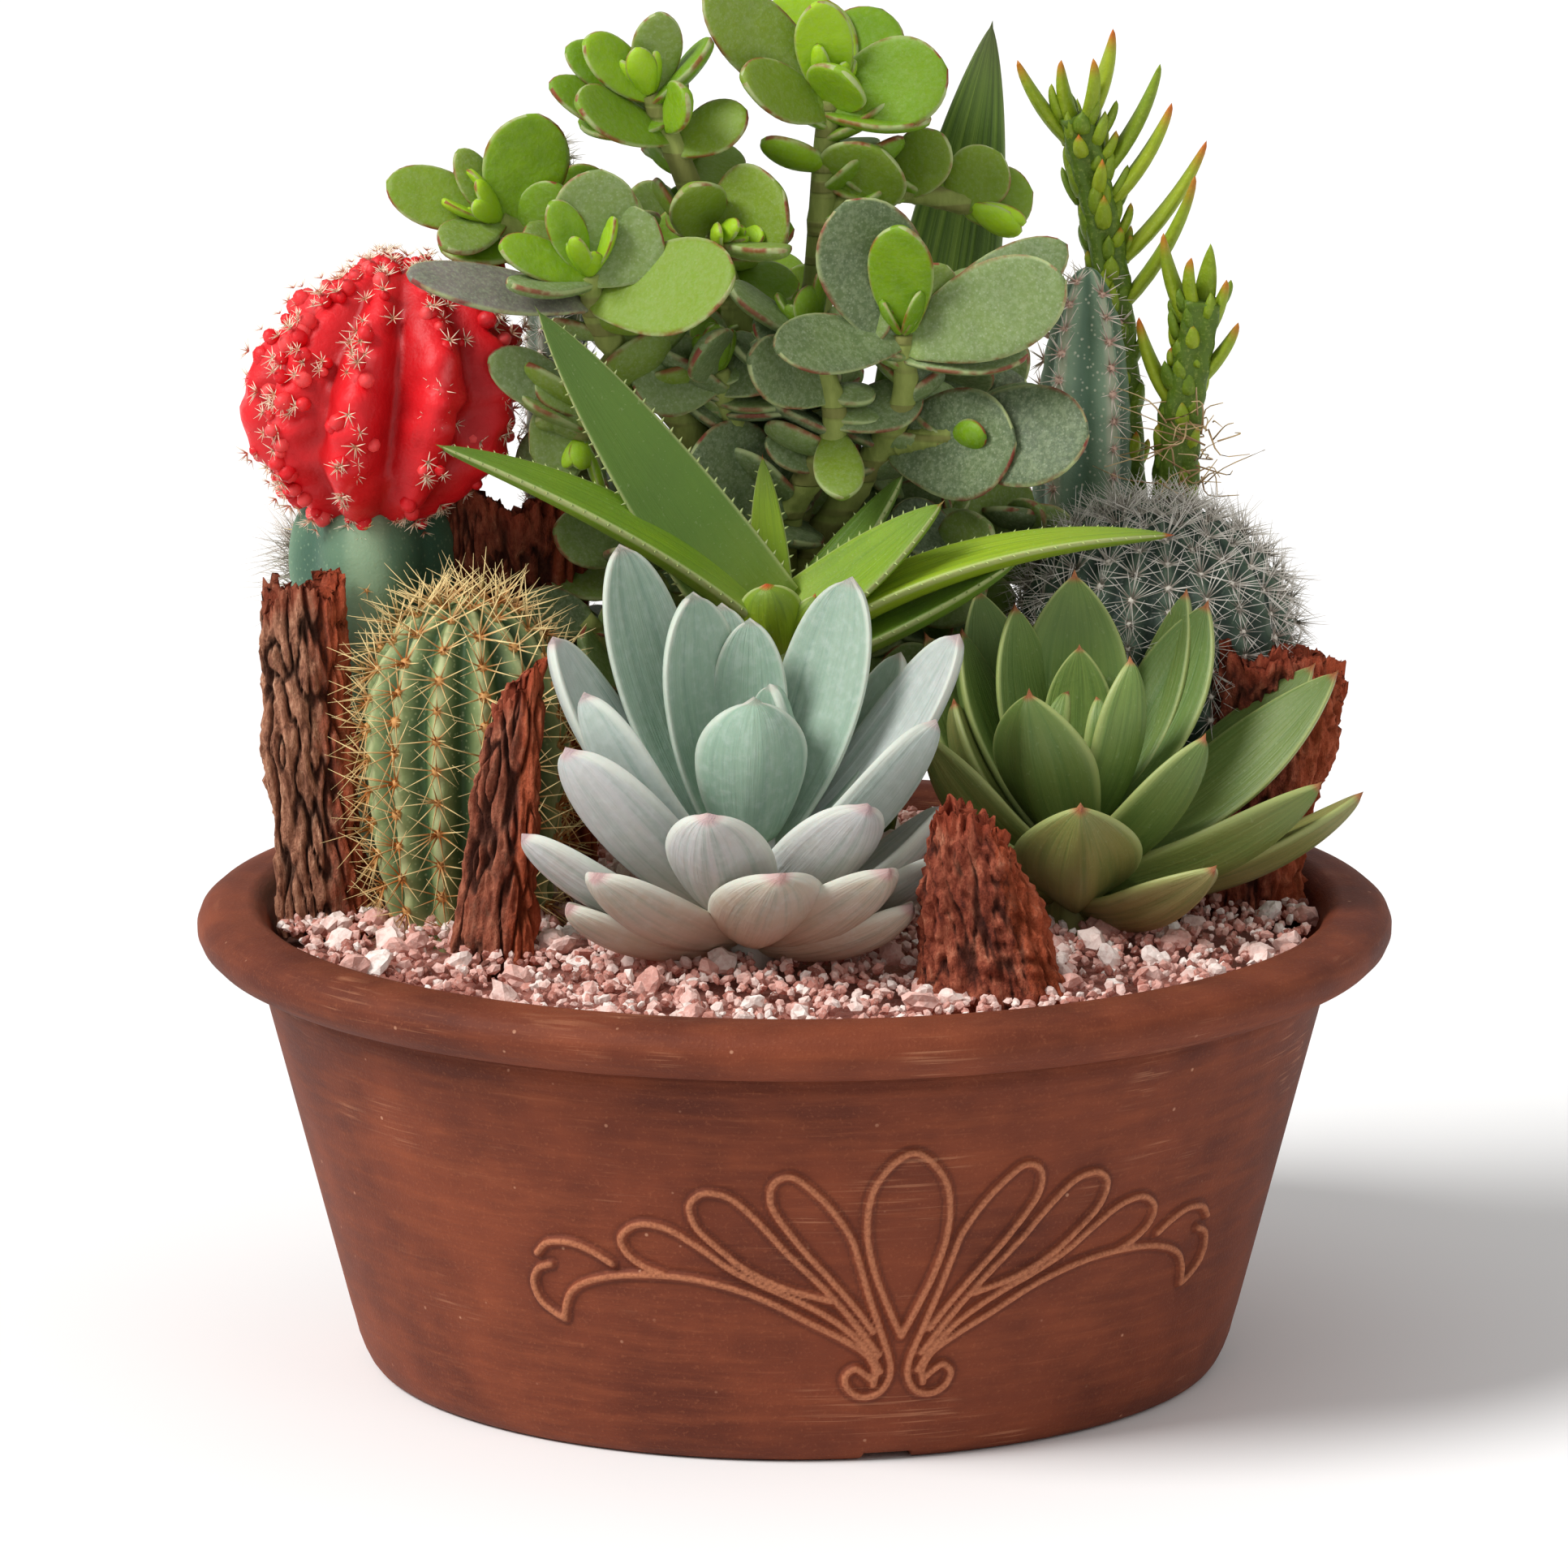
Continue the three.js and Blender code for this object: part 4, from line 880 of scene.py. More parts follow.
def makeMoon(skin, spines):
    mesh = fresh()
    lay = mesh.verts.layers.float_vector["lay"]
    dice = random.Random("moon")
    for row, sides, stations in ((moon["ball"], 108, 64), (moon["pup"], 42, 24)):
        def place(share, angle):
            if share < 0.001 or share > 0.999:
                return Vector(row["foot"] if share < 0.5 else row["top"])
            spot = cactusSpot(row, 0.5 - 0.5 * math.cos(share * math.pi), angle)
            lump = noise.noise(spot * 0.05) * 4.5 + noise.noise(spot * 0.15) * 2.6
            out = Vector((math.cos(angle), -math.sin(angle), 0))
            return spot + out * (lump - 1.4) * math.sin(share * math.pi)
        for point in drawnOut(mesh, sides, stations, place, 0.3):
            angle = math.atan2(point[lay].z, point[lay].y)
            point[lay] = (point[lay].x, ribCrest(row, angle), 0)
    thorns = fresh()

    def makeKnob(small):
        side = small.verts.layers.float_vector["lay"]
        for point in bmesh.ops.create_uvsphere(small, u_segments=8, v_segments=5, radius=1)["verts"]:
            point[side] = (0.5, 0.9, 0)
    knob = Stamp(makeKnob)
    stars = [spineTuft("moonStar%d" % i, 7, 3.6, 1.4, 0.26, 1) for i in range(4)]
    row = moon["ball"]
    for i in range(moon["knobs"] + moon["tufts"]):
        angle = dice.uniform(0, tau)
        if i % 3:
            rib = dice.randrange(row["ribs"])
            angle = tau * rib / row["ribs"] - row["turn"] + dice.uniform(-0.1, 0.1)
        share = dice.uniform(0.05, 0.99)
        left = math.cos(angle) < -0.25
        crown = share > 0.62
        if i < moon["knobs"] and not (left or crown) and dice.random() < 0.85:
            continue
        share = 0.5 - 0.5 * math.cos(share * math.pi)
        spot = cactusSpot(row, share, angle, -1.6)
        face = cactusFace(row, share, angle)
        size = dice.uniform(*moon["knobSize"])
        if i < moon["knobs"]:
            knob.press(mesh, spot + face * 0.6, aimed(face, 0, (size, size, size * 1.1)),
                       dice.uniform(0.4, 1))
            spot = spot + face * size * 1.5
        if dice.random() < 0.75:
            scale = dice.uniform(*moon["starSize"])
            stars[dice.randrange(4)].press(
                thorns, spot + face * 0.5, aimed(face, dice.uniform(0, tau), (scale, scale, scale)),
                dice.uniform(0.4, 1))
    for i in range(moon["fringe"]):        # the fringe of short spines where head meets stock
        angle = tau * i / moon["fringe"] + dice.uniform(-0.03, 0.03)
        share = dice.uniform(0.02, 0.06)
        face = Vector((math.cos(angle), -math.sin(angle), -0.9)).normalized()
        stars[i % 4].press(thorns, cactusSpot(row, share, angle, -1), aimed(face, 0, (0.6, 0.6, 0.6)), 0.2)
    for stamp in stars + [knob]:
        stamp.done()
    finished(mesh, "moonHead", skin, ["moon_cactus_head"], "red_skin")
    finished(thorns, "moonHeadSpines", spines, slot="red_skin")


creamSpines = spineSkin("creamSpines", tint(226, 150, 110), tint(250, 232, 206), tint(240, 210, 180))
makeMoon(moonFinish(), creamSpines)
print("moon cactus")


# ---- rosettes: each leaf row is the tip, the root's height, the width, its age and its twist

blueRosette = dict(
    centre=(-12, -52), stemRadius=9, crown=150, form="spoon", thick=6.4, up=0.3, bow=0.17,
    leaves=[
        (-43, -32, 217, 142, 26, 0.25, 0.3), (-59, -47, 197, 138, 22, 0.55, 0.3),
        (-51, -66, 187, 136, 22, 0.5, 0.3), (-55, -80, 176, 131, 29, 0.7, 0.3),
        (-66, -66, 152, 126, 21, 0.75, 0.2), (-48, -92, 148, 125, 26, 0.92, 0.1),
        (-21, -99, 164, 130, 27, 0.75, 0), (-4, -102, 150, 126, 28, 0.95, 0),
        (22, -92, 149, 125, 26, 0.95, -0.1), (37, -68, 147, 124, 20, 0.85, -0.2),
        (17, -88, 164, 131, 27, 0.72, -0.3), (34, -60, 179, 135, 24, 0.5, -0.3),
        (40, -44, 197, 139, 24, 0.6, -0.3), (14, -33, 209, 144, 27, 0.2, -0.3),
        (-25, -42, 207, 146, 26, 0.1, 0.2),
    ],
    heart=[
        (-55, -78, 137, 123, 20, 0.95, 0), (28, -82, 138, 123, 20, 0.95, 0),
        (36, -48, 155, 126, 20, 0.8, 0), (26, -26, 189, 140, 20, 0.3, 0),
        (-11, -38, 200, 148, 19, 0.05, 0.2), (-18, -24, 201, 143, 20, 0.2, 0),
        (-10, -64, 185, 148, 28, 0.02, 0), (-6, -50, 186, 150, 17, 0, -0.2),
        (-3, -42, 179, 151, 13, 0, 0.3),
    ],
)
greenRosette = dict(
    centre=(70, -12), stemRadius=9, crown=152, form="pointed", thick=5.6, up=0.3, bow=0.16,
    leaves=[
        (70, 6, 203, 146, 28, 0.2, 0), (58, -30, 180, 142, 29, 0.45, 0.1),
        (103, 3, 196, 144, 27, 0.3, -0.3), (101, -34, 170, 134, 23, 0.4, -0.2),
        (130, 10, 179, 134, 22, 0.5, -0.3), (135, -4, 180, 132, 22, 0.5, -0.4),
        (130, -24, 156, 128, 22, 0.65, -0.3), (70, -56, 157, 127, 32, 0.8, 0),
        (103, -52, 141, 124, 24, 0.95, -0.1), (33, -22, 168, 132, 25, 0.75, 0.2),
    ],
    heart=[
        (55, 0, 196, 144, 21, 0.2, 0.2), (42, 4, 189, 138, 20, 0.4, 0), (71, -6, 187, 148, 18, 0.08, 0),
        (68, -13, 177, 152, 8, 0, 0), (83, -22, 187, 146, 20, 0.15, 0), (98, 9, 198, 142, 20, 0.4, 0),
        (141, -12, 151, 127, 18, 0.85, 0), (40, -6, 173, 134, 22, 0.7, 0), (33, 8, 187, 136, 24, 0.5, 0.4),
        (46, 16, 197, 140, 24, 0.3, 0.3), (34, -34, 152, 128, 22, 0.85, 0.2),
        (64, -17, 172, 151, 9, 0, 0.3), (75, -15, 176, 151, 9, 0, -0.3),
    ],
)


def rosetteLeaf(mesh, plant, row):
    x, y, z, rootHeight, width, age, twist = row
    centreX, centreY = plant["centre"]
    outward = Vector((x - centreX, y - centreY, 0)).normalized()
    root = Vector((centreX, centreY, rootHeight)) + outward * plant["stemRadius"] * 0.5
    side = Vector((x, y, z)) - root
    front = Vector((0, -1, 0)) - side * (-side.y) / side.length_squared
    inward = -outward + up * plant["up"]
    facing = inward.lerp(front if front.dot(inward) > 0 else -front, abs(twist))
    leaf(mesh, root, (x, y, z), width, plant["thick"], plant["form"], facing, plant["bow"],
         tone=age, wave=0.02, sides=28, stations=30)


def makeRosette(name, plant, material, node, slot):
    for i, row in enumerate(plant["leaves"], 1):
        mesh = fresh()
        rosetteLeaf(mesh, plant, row)
        finished(mesh, "%sLeaf%d" % (name, i), material, ["%s_leaf_%d" % (node, i)], slot)
    mesh = fresh()
    x, y = plant["centre"]
    stem(mesh, [(x, y, 105), (x, y, 120), (x, y, plant["crown"])], plant["stemRadius"],
         plant["stemRadius"] * 0.8, 20, 12, 0.8)
    for row in plant["heart"]:
        rosetteLeaf(mesh, plant, row)
    finished(mesh, name + "Heart", material, [node + "_heart"], slot)


def blueLeafFinish():
    skin = fleshy("powderBlueLeaf", 0.22)
    along, side, high = skin.lay()
    age = skin.value("tone")
    streak = skin.streaks(side * 7, along * 1.1, age * 30 + high)
    cloud = skin.grain(11, 3)
    wax = skin.grain(2.5, 4)
    colour = skin.ramp(age + (cloud - 0.5) * 0.25, [
        (0.0, tint(148, 174, 152)), (0.25, tint(158, 178, 160)), (0.5, tint(176, 186, 178)),
        (0.72, tint(188, 188, 186)), (1.0, tint(192, 178, 156)),
    ])
    colour = skin.blend((streak * 1.3 - 0.25).between(0.3, 0.75) * 0.5, colour, tint(118, 146, 130))
    colour = skin.blend(wax.between(0.42, 0.75) * 0.22, colour, tint(212, 220, 216))
    blush = (along + cloud * 0.35).between(0.85, 0.35) * age.between(0.75, 1.0)
    colour = skin.blend(blush * 0.55, colour, tint(206, 168, 138))
    colour = skin.blend((along + cloud * 0.2).between(0.3, 0.0) * 0.5, colour, tint(150, 178, 128))
    margin = (abs(side) + along ** 6 * 0.35).between(0.86, 1.04)
    colour = skin.blend(margin * 0.6, colour, tint(216, 220, 206))
    colour = skin.blend(along.between(0.9, 0.985) * (0.15 + age * 0.4), colour, tint(196, 128, 136))
    return skin.paint(colour, 0.52 + wax * 0.25, [(streak, 0.45), (wax, 0.15)])


def greenLeafFinish():
    skin = fleshy("satinGreenLeaf", 0.4)
    along, side, high = skin.lay()
    age = skin.value("tone")
    streak = skin.streaks(side * 8, along * 1.2, age * 30 + high)
    cloud = skin.grain(12, 3)
    fine = skin.grain(1.2, 3)
    colour = skin.ramp(age + (cloud - 0.5) * 0.25, [
        (0.0, tint(126, 150, 72)), (0.3, tint(98, 122, 58)), (0.6, tint(110, 126, 60)),
        (0.8, tint(136, 134, 74)), (1.0, tint(156, 146, 94)),
    ])
    colour = skin.blend(streak.between(0.4, 0.7) * 0.45, colour, tint(70, 104, 44))
    colour = skin.blend((along + cloud * 0.3).between(0.5, 0.1) * 0.4, colour, tint(122, 142, 80))
    margin = (abs(side) + along ** 8 * 0.3).between(0.86, 1.02)
    colour = skin.blend(margin * 0.7, colour, tint(172, 182, 112))
    colour = skin.blend(along.between(0.89, 0.98) * 0.8, colour, tint(170, 86, 54))
    colour = skin.blend(fine.between(0.6, 0.75) * 0.2, colour, tint(176, 190, 140))
    return skin.paint(colour, 0.4 + fine * 0.15, [(streak, 0.35), (fine, 0.1)])


makeRosette("blueRosette", blueRosette, blueLeafFinish(), "blue_rosette", "blue_leaf")
makeRosette("greenRosette", greenRosette, greenLeafFinish(), "green_rosette", "green_leaf")
print("rosettes")


# ---- aloe and sword leaf

aloe = dict(
    centre=(-4, 6), toothGap=3.4, toothSize=(0.45, 1.5),
    leaves={                               # tip, root height, width, bow, facing, tone
        "broad": ((-63, -15, 273), 190, 25, 0.05, (0.2, -1, 0.3), 0.25),
        "left": ((-87, -23, 241), 193, 18, -0.1, (0.2, -0.5, 1), 0.5),
        "spike": ((-8, 17, 231), 192, 11, 0, (0, -1, 0.2), 0.75),
        "blunt": ((36, -10, 224), 191, 20, 0.05, (-0.4, -0.8, 0.8), 0.6),
        "right": ((93, -8, 216), 186, 15, -0.18, (-0.2, -0.4, 1), 0.8),
        "rear": ((27, 24, 225), 190, 14, 0.02, (-0.5, -0.6, 1), 0.4),
        "low": ((55, -6, 209), 180, 12, 0.06, (-0.2, -0.4, 1), 0.45),
    },
)


def aloeFinish():
    skin = fleshy("aloeSkin", 0.4, 0.1, 0.005)
    along, side, high = skin.lay()
    tone = skin.value("tone")
    streak = skin.streaks(side * 6, along * 1.6, tone * 20 + high)
    cloud = skin.grain(14, 3)
    fine = skin.grain(1.0, 3)
    colour = skin.ramp(tone + (cloud - 0.5) * 0.3, [
        (0.0, tint(76, 106, 36)), (0.4, tint(98, 132, 36)), (0.65, tint(132, 164, 28)),
        (1.0, tint(160, 180, 34)),
    ])
    colour = skin.blend(streak.between(0.42, 0.7) * 0.35, colour, tint(84, 118, 36))
    colour = skin.blend((along + cloud * 0.3).between(0.5, 1.05) * 0.45, colour, tint(84, 112, 48))
    colour = skin.blend((along + cloud * 0.2).between(0.35, 0.0) * 0.6, colour, tint(176, 194, 84))
    colour = skin.blend(abs(side).between(0.9, 1.0) * 0.6, colour, tint(206, 212, 150))
    redTip = along.between(0.93, 0.99) * tone.between(0.45, 0.8)
    colour = skin.blend(redTip * 0.85, colour, tint(196, 70, 40))
    colour = skin.blend(fine.between(0.62, 0.75) * 0.18, colour, tint(196, 208, 160))
    return skin.paint(colour, 0.4 + fine * 0.15, [(streak, 0.35), (fine, 0.1)])


def makeAloe(material):
    x, y = aloe["centre"]

    def makeTooth(small):
        side = small.verts.layers.float_vector["lay"]
        base, height = aloe["toothSize"]
        for point in bmesh.ops.create_cone(
            small, cap_ends=True, segments=4, radius1=base, radius2=0.05, depth=height,
        )["verts"]:
            point[side] = (0.5, 1, 0)
    tooth = Stamp(makeTooth)
    for name, (tip, rootHeight, width, bow, facing, tone) in aloe["leaves"].items():
        outward = Vector((tip[0] - x, tip[1] - y, 0)).normalized()
        root = Vector((x, y, rootHeight)) + outward * 4
        mesh = fresh()
        thick = min(7, width * 0.5)
        at = leaf(mesh, root, tip, width, thick, "strap", facing, bow, tone=tone,
                  wave=0.012, sides=24, stations=44)
        length = (Vector(tip) - root).length
        count = int(length / aloe["toothGap"])
        for i in range(3, count):
            t = i / count
            spot, tangent, side, normal = at(t)
            half = widthAt(forms["strap"], t) * width / 2
            for edge in (1, -1):
                way = (side * edge + tangent * 0.5 + normal * 0.2).normalized()
                foot = spot + side * edge * half + normal * forms["strap"]["channel"] * half
                size = 0.6 + 0.5 * widthAt(forms["strap"], t)
                tooth.press(mesh, foot + way * 0.4, aimed(way, 0, (size, size, size)), tone)
        finished(mesh, "aloeLeaf" + name.capitalize(), material, ["aloe_leaf_" + name], "aloe_skin")
    tooth.done()
    mesh = fresh()
    stem(mesh, [(x, y + 6, 105), (x, y + 3, 140), (x, y, 192)], 8, 9, 20, 16, 0.6)
    leaf(mesh, (x, y - 4, 184), (x - 3, y - 14, 203), 16, 6, "spoon", (0, 1, 0.2), tone=0.8)
    leaf(mesh, (x + 3, y - 3, 182), (x + 9, y - 11, 200), 12, 4, "pointed", (-0.3, 1, 0.2), tone=0.8)
    leaf(mesh, (x, y + 4, 186), (x - 6, y + 12, 206), 12, 4, "pointed", (0, -1, 0.4), tone=0.6)
    finished(mesh, "aloeHeart", material, ["aloe_crown"], "aloe_skin")


def swordFinish():
    skin = Finish("darkSwordLeaf", {"Specular IOR Level": 0.4})
    along, side, high = skin.lay()
    streak = skin.streaks(side * 9, along * 2, high * 0.5)
    fine = skin.grain(1.2, 3)
    colour = skin.ramp(streak, [
        (0.3, tint(62, 86, 26)), (0.5, tint(86, 114, 36)), (0.7, tint(120, 146, 54)),
    ])
    colour = skin.blend(along.between(0.75, 1.0) * 0.5, colour, tint(92, 84, 66))
    colour = skin.blend(abs(side).between(0.9, 1.0) * 0.5, colour, tint(128, 136, 104))
    return skin.paint(colour, 0.45 + fine * 0.15, [(streak, 0.4), (fine, 0.12)])


makeAloe(aloeFinish())
swordMesh = fresh()
leaf(swordMesh, (12, 76, 105), (50, 68, 333), 28, 7, "sword", (0, -1, 0), 0.01, wave=0.02,
     sides=24, stations=48)
finished(swordMesh, "swordLeaf", swordFinish(), ["sword_leaf"], "sword_skin")
print("aloe and sword leaf")


# ---- spurges

spurges = {
    "tall": dict(
        node="spurge_tall", route=[(87, 82, 105), (86, 86, 180), (81, 86, 262), (72, 83, 308)],
        radius=6.8, blades=96, reach=15, leaves=[
            (0.93, (57, 80, 322)), (0.95, (68, 80, 322)), (0.97, (76, 76, 323)), (0.97, (81, 80, 330)),
            (0.86, (93, 80, 321)), (0.8, (96, 80, 311)), (0.7, (105, 82, 301)), (0.64, (102, 76, 293)),
        ],
    ),
    "short": dict(
        node="spurge_short", route=[(97, 72, 105), (99, 77, 170), (98, 76, 222), (104, 72, 262)],
        radius=7.2, blades=70, reach=12, leaves=[
            (0.93, (94, 70, 279)), (0.97, (101, 68, 273)), (0.95, (106, 72, 276)),
            (0.9, (110, 70, 267)), (0.8, (113, 70, 256)), (0.75, (88, 72, 257)),
        ],
    ),
}


spurgeRear = 99                            # blades stay over the bowl


def spurgeFinish():
    skin = fleshy("spurgeSkin", 0.35, 0.06, 0.003)
    along = skin.lay()[0]
    tone = skin.value("tone")
    cloud = skin.grain(5, 3)
    fine = skin.grain(0.9, 3)
    colour = skin.ramp(tone + (cloud - 0.5) * 0.4, [
        (0.0, tint(56, 80, 20)), (0.4, tint(94, 122, 24)), (0.7, tint(136, 158, 28)),
        (1.0, tint(166, 180, 40)),
    ])
    colour = skin.blend(fine.between(0.5, 0.75) * 0.3, colour, tint(178, 190, 96))
    tip = along.between(0.62, 0.95) * tone.between(0.62, 0.8)
    colour = skin.blend(tip * 0.85, colour, tint(198, 84, 30))
    return skin.paint(colour, 0.45 + fine * 0.15, [(cloud, 0.5), (fine, 0.15)])


def makeSpurge(name, row, material):
    dice = random.Random("spurge" + name)
    mesh = fresh()

    def knobbly(along, angle):
        return (0.86 + 0.2 * math.cos(4 * angle + along * 3)
                * (0.75 + 0.25 * math.sin(along * 110 + 2 * angle)))
    route = stem(mesh, row["route"], row["radius"], row["radius"] * 0.8, 32, 110, 0.25, knobbly)
    for share, tip in row["leaves"]:
        leaf(mesh, route(share), tip, 6, 3.8, "needle", (0, -0.3, 1), 0.13, 2,
             dice.choice((0.6, 0.75, 0.85)), sides=10, stations=12)
    for i in range(row["blades"]):
        share = 0.42 + 0.57 * (i + dice.random()) / row["blades"]
        angle = i * 2.4 + dice.uniform(-0.3, 0.3)
        spot = route(share)
        out = Vector((math.cos(angle), math.sin(angle), 0))
        reach = row["reach"] * dice.uniform(0.4, 1) * (0.55 + 0.45 * share)
        tip = spot + out * reach * dice.uniform(0.45, 0.8) + up * reach * 0.75
        tip.y = min(tip.y, spurgeRear)
        leaf(mesh, spot + out * row["radius"] * 0.5, tip, dice.uniform(3.2, 5.2), 2.8, "needle",
             up - out, 0.1, 0, dice.uniform(0.35, 0.9), sides=8, stations=8)
    finished(mesh, "spurge" + name.capitalize(), material, [row["node"]], "spurge_skin")


rootlets = dict(count=46, foot=(101, 70, 214), reach=(9, 26), thick=0.28, thin=0.12)


def makeRootlets(material):                # dry rootlets caught at the foot of the short spurge
    dice = random.Random("rootlets")
    mesh = fresh()
    for i in range(rootlets["count"]):
        shift = Vector((dice.uniform(-7, 7), dice.uniform(-7, 5), dice.uniform(-2, 18)))
        start = Vector(rootlets["foot"]) + shift
        reach = dice.uniform(*rootlets["reach"])
        angle = dice.uniform(math.pi, tau) if i % 3 else dice.uniform(0, tau)
        way = Vector((math.cos(angle), math.sin(angle) * 0.7, dice.uniform(-0.4, 0.6)))
        bend = Vector((dice.uniform(-4, 4), dice.uniform(-4, 4), dice.uniform(-3, 5)))
        points = [start, start + way * reach * 0.5 + bend, start + way * reach]
        stem(mesh, points, rootlets["thick"], rootlets["thin"], 4, 8, dice.random())
    finished(mesh, "dryRootlets", material, slot="bark")


spurgeSkin = spurgeFinish()
for name, row in spurges.items():
    makeSpurge(name, row, spurgeSkin)
makeRootlets(spineSkin("rootletSkin", tint(150, 112, 74), tint(206, 178, 132), tint(180, 150, 110)))
print("spurges")


# ---- jade plant: a leaf row is its twig, the share along it, the tip, the width, where it looks
# (0 is up, 90 the front) and its tone, from 0 grey to 1 bright

jadeTrunk = dict(
    route=[(-2, 58, 105), (-6, 56, 150), (0, 52, 200), (2, 48, 236)], rootRadius=10, tipRadius=6,
)
jade = {
    "top": dict(
        twigs=[[(2, 48, 228), (6, 46, 270), (8, 41, 306), (9, 40, 318)],
               [(7, 44, 290), (26, 46, 294), (44, 48, 290)]],
        tone=0.78,
        leaves=[
            (0, 0.95, (-22, 32, 347), 20, 70, 0.55), (0, 1, (-4, 58, 341), 29, 70, 0.95),
            (0, 1, (6, 30, 344), 15, 80, 1), (0, 0.98, (-7, 40, 336), 17, 40, 0.6),
            (0, 0.9, (-13, 22, 327), 16, 60, 0.6), (0, 1, (38, 30, 327), 24, 65, 0.75),
            (0, 0.9, (34, 34, 314), 17, 10, 0.8), (0, 0.97, (12, 26, 327), 17, 75, 0.9),
            (1, 0.1, (22, 34, 306), 24, 80, 0.62), (1, 0.5, (37, 42, 309), 16, 60, 0.6),
            (1, 0.9, (52, 48, 303), 17, 70, 0.62), (1, 1, (60, 50, 293), 17, 80, 0.65),
            (0, 1, (22, 60, 338), 22, 30, 0.8), (0, 0.9, (12, 72, 322), 22, -30, 0.7),
        ],
    ),
    "upper_left": dict(
        twigs=[[(-1, 48, 222), (-14, 38, 262), (-26, 30, 297), (-36, 29, 321)],
               [(-22, 32, 284), (-19, 27, 285)]],
        tone=0.72,
        leaves=[
            (0, 1, (-57, 28, 333), 12, 70, 0.8), (0, 1, (-52, 22, 336), 13, 70, 0.9),
            (0, 1, (-33, 25, 342), 13, 80, 0.5), (0, 0.98, (-21, 30, 335), 13, 0, 0.8),
            (0, 0.85, (-61, 22, 325), 13, 50, 0.75), (0, 0.85, (-54, 11, 322), 17, 45, 0.72),
            (0, 0.9, (-27, 16, 323), 13, 60, 0.85), (1, 1, (-3, 18, 298), 26, 75, 0.58),
            (1, 1, (-2, 8, 285), 13, 5, 0.5), (0, 0.8, (-12, 28, 317), 15, 40, 0.6),
            (1, 0.5, (-26, 14, 300), 16, 80, 0.6), (0, 0.9, (-38, 52, 330), 20, -20, 0.7),
        ],
    ),
    "left": dict(
        twigs=[[(-4, 50, 214), (-30, 42, 252), (-56, 36, 276), (-74, 30, 289)]],
        tone=0.75,
        leaves=[
            (0, 1, (-102, 30, 299), 16, 60, 0.62), (0, 1, (-84, 30, 307), 10, 60, 0.55),
            (0, 0.95, (-64, 28, 316), 22, 80, 0.85), (0, 1, (-88, 16, 285), 13, 20, 0.5),
            (0, 0.9, (-58, 26, 298), 13, 60, 0.75), (0, 0.9, (-84, 46, 300), 17, -10, 0.6),
            (0, 0.6, (-60, 60, 285), 22, -20, 0.5),
        ],
    ),
    "front_left": dict(
        twigs=[[(-6, 46, 206), (-28, 30, 238), (-48, 14, 264), (-51, 8, 279)],
               [(-44, 20, 256), (-52, 16, 246), (-54, 16, 236)]],
        tone=0.5,
        leaves=[
            (0, 1, (-48, 8, 305), 22, 75, 0.42), (0, 1, (-35, 8, 293), 21, 70, 0.4),
            (0, 0.98, (-73, -1, 288), 12, 60, 0.85), (0, 1, (-60, 4, 298), 10, 60, 0.85),
            (0, 0.95, (-71, -5, 279), 11, 5, 0.35), (0, 0.85, (-15, -10, 281), 27, 55, 0.62),
            (0, 0.8, (-96, -4, 281), 17, 35, 0.02), (0, 0.9, (-42, 22, 298), 16, 70, 0.5),
            (1, 0.6, (-76, 10, 258), 14, 60, 0.35), (1, 1, (-66, 14, 233), 21, 80, 0.45),
            (1, 1, (-70, 26, 225), 17, 60, 0.3), (0, 0.9, (-66, 20, 290), 15, 20, 0.5),
        ],
    ),
    "right": dict(
        twigs=[[(0, 50, 194), (16, 34, 222), (27, 20, 244), (27, 14, 263)], [(20, 28, 232), (40, 20, 236)]],
        tone=0.35,
        leaves=[
            (0, 0.95, (13, 9, 297), 28, 70, 0.2), (0, 1, (26, 0, 292), 17, 80, 0.85),
            (0, 0.98, (-5, -4, 263), 17, 60, 0.25), (0, 0.95, (67, -4, 279), 25, 65, 0.35),
            (0, 0.9, (58, 12, 258), 16, 30, 0.3), (0, 1, (38, 14, 280), 15, 80, 0.5),
            (0, 0.95, (68, 22, 284), 18, 60, 0.3), (1, 0.2, (55, 8, 236), 29, 75, 0.18),
            (1, 0.9, (73, 2, 239), 27, 75, 0.15), (1, 1, (62, 34, 246), 20, 10, 0.3),
            (0, 0.9, (44, 36, 276), 21, -20, 0.35),
        ],
    ),
    "low": dict(
        twigs=[[(-4, 54, 182), (-2, 36, 212), (10, 18, 238), (4, 20, 262)],
               [(-2, 38, 210), (-16, 28, 240), (-19, 25, 252)]],
        tone=0.3,
        leaves=[
            (0, 1, (-16, 18, 275), 15, 10, 0.35), (0, 0.8, (-11, 0, 260), 18, 60, 0.25),
            (0, 0.65, (12, 0, 224), 13, 80, 0.55), (0, 0.4, (-26, 18, 231), 28, 75, 0.22),
            (1, 0.95, (-41, 18, 252), 22, 75, 0.35), (1, 1, (-22, 6, 262), 16, 70, 0.3),
            (0, 0.5, (22, 44, 228), 22, -10, 0.3), (1, 0.5, (-32, 48, 244), 21, -20, 0.3),
            (0, 0.95, (24, 12, 271), 15, 60, 0.4), (1, 0.7, (-30, 34, 268), 18, 50, 0.35),
            (0, 0.7, (32, 22, 246), 16, 40, 0.25),
        ],
    ),
}
jadeFill = dict(                           # leaves grown by chance, kept clear of the other plants
    perTwig=10, topSide=4, reach=(11, 24), buds=7, budReach=(8, 17), budWidth=(5, 9),
    left=-104, right=74, front=-10, rear=92, underTop=6, swordFrom=4, swordClear=54,
)


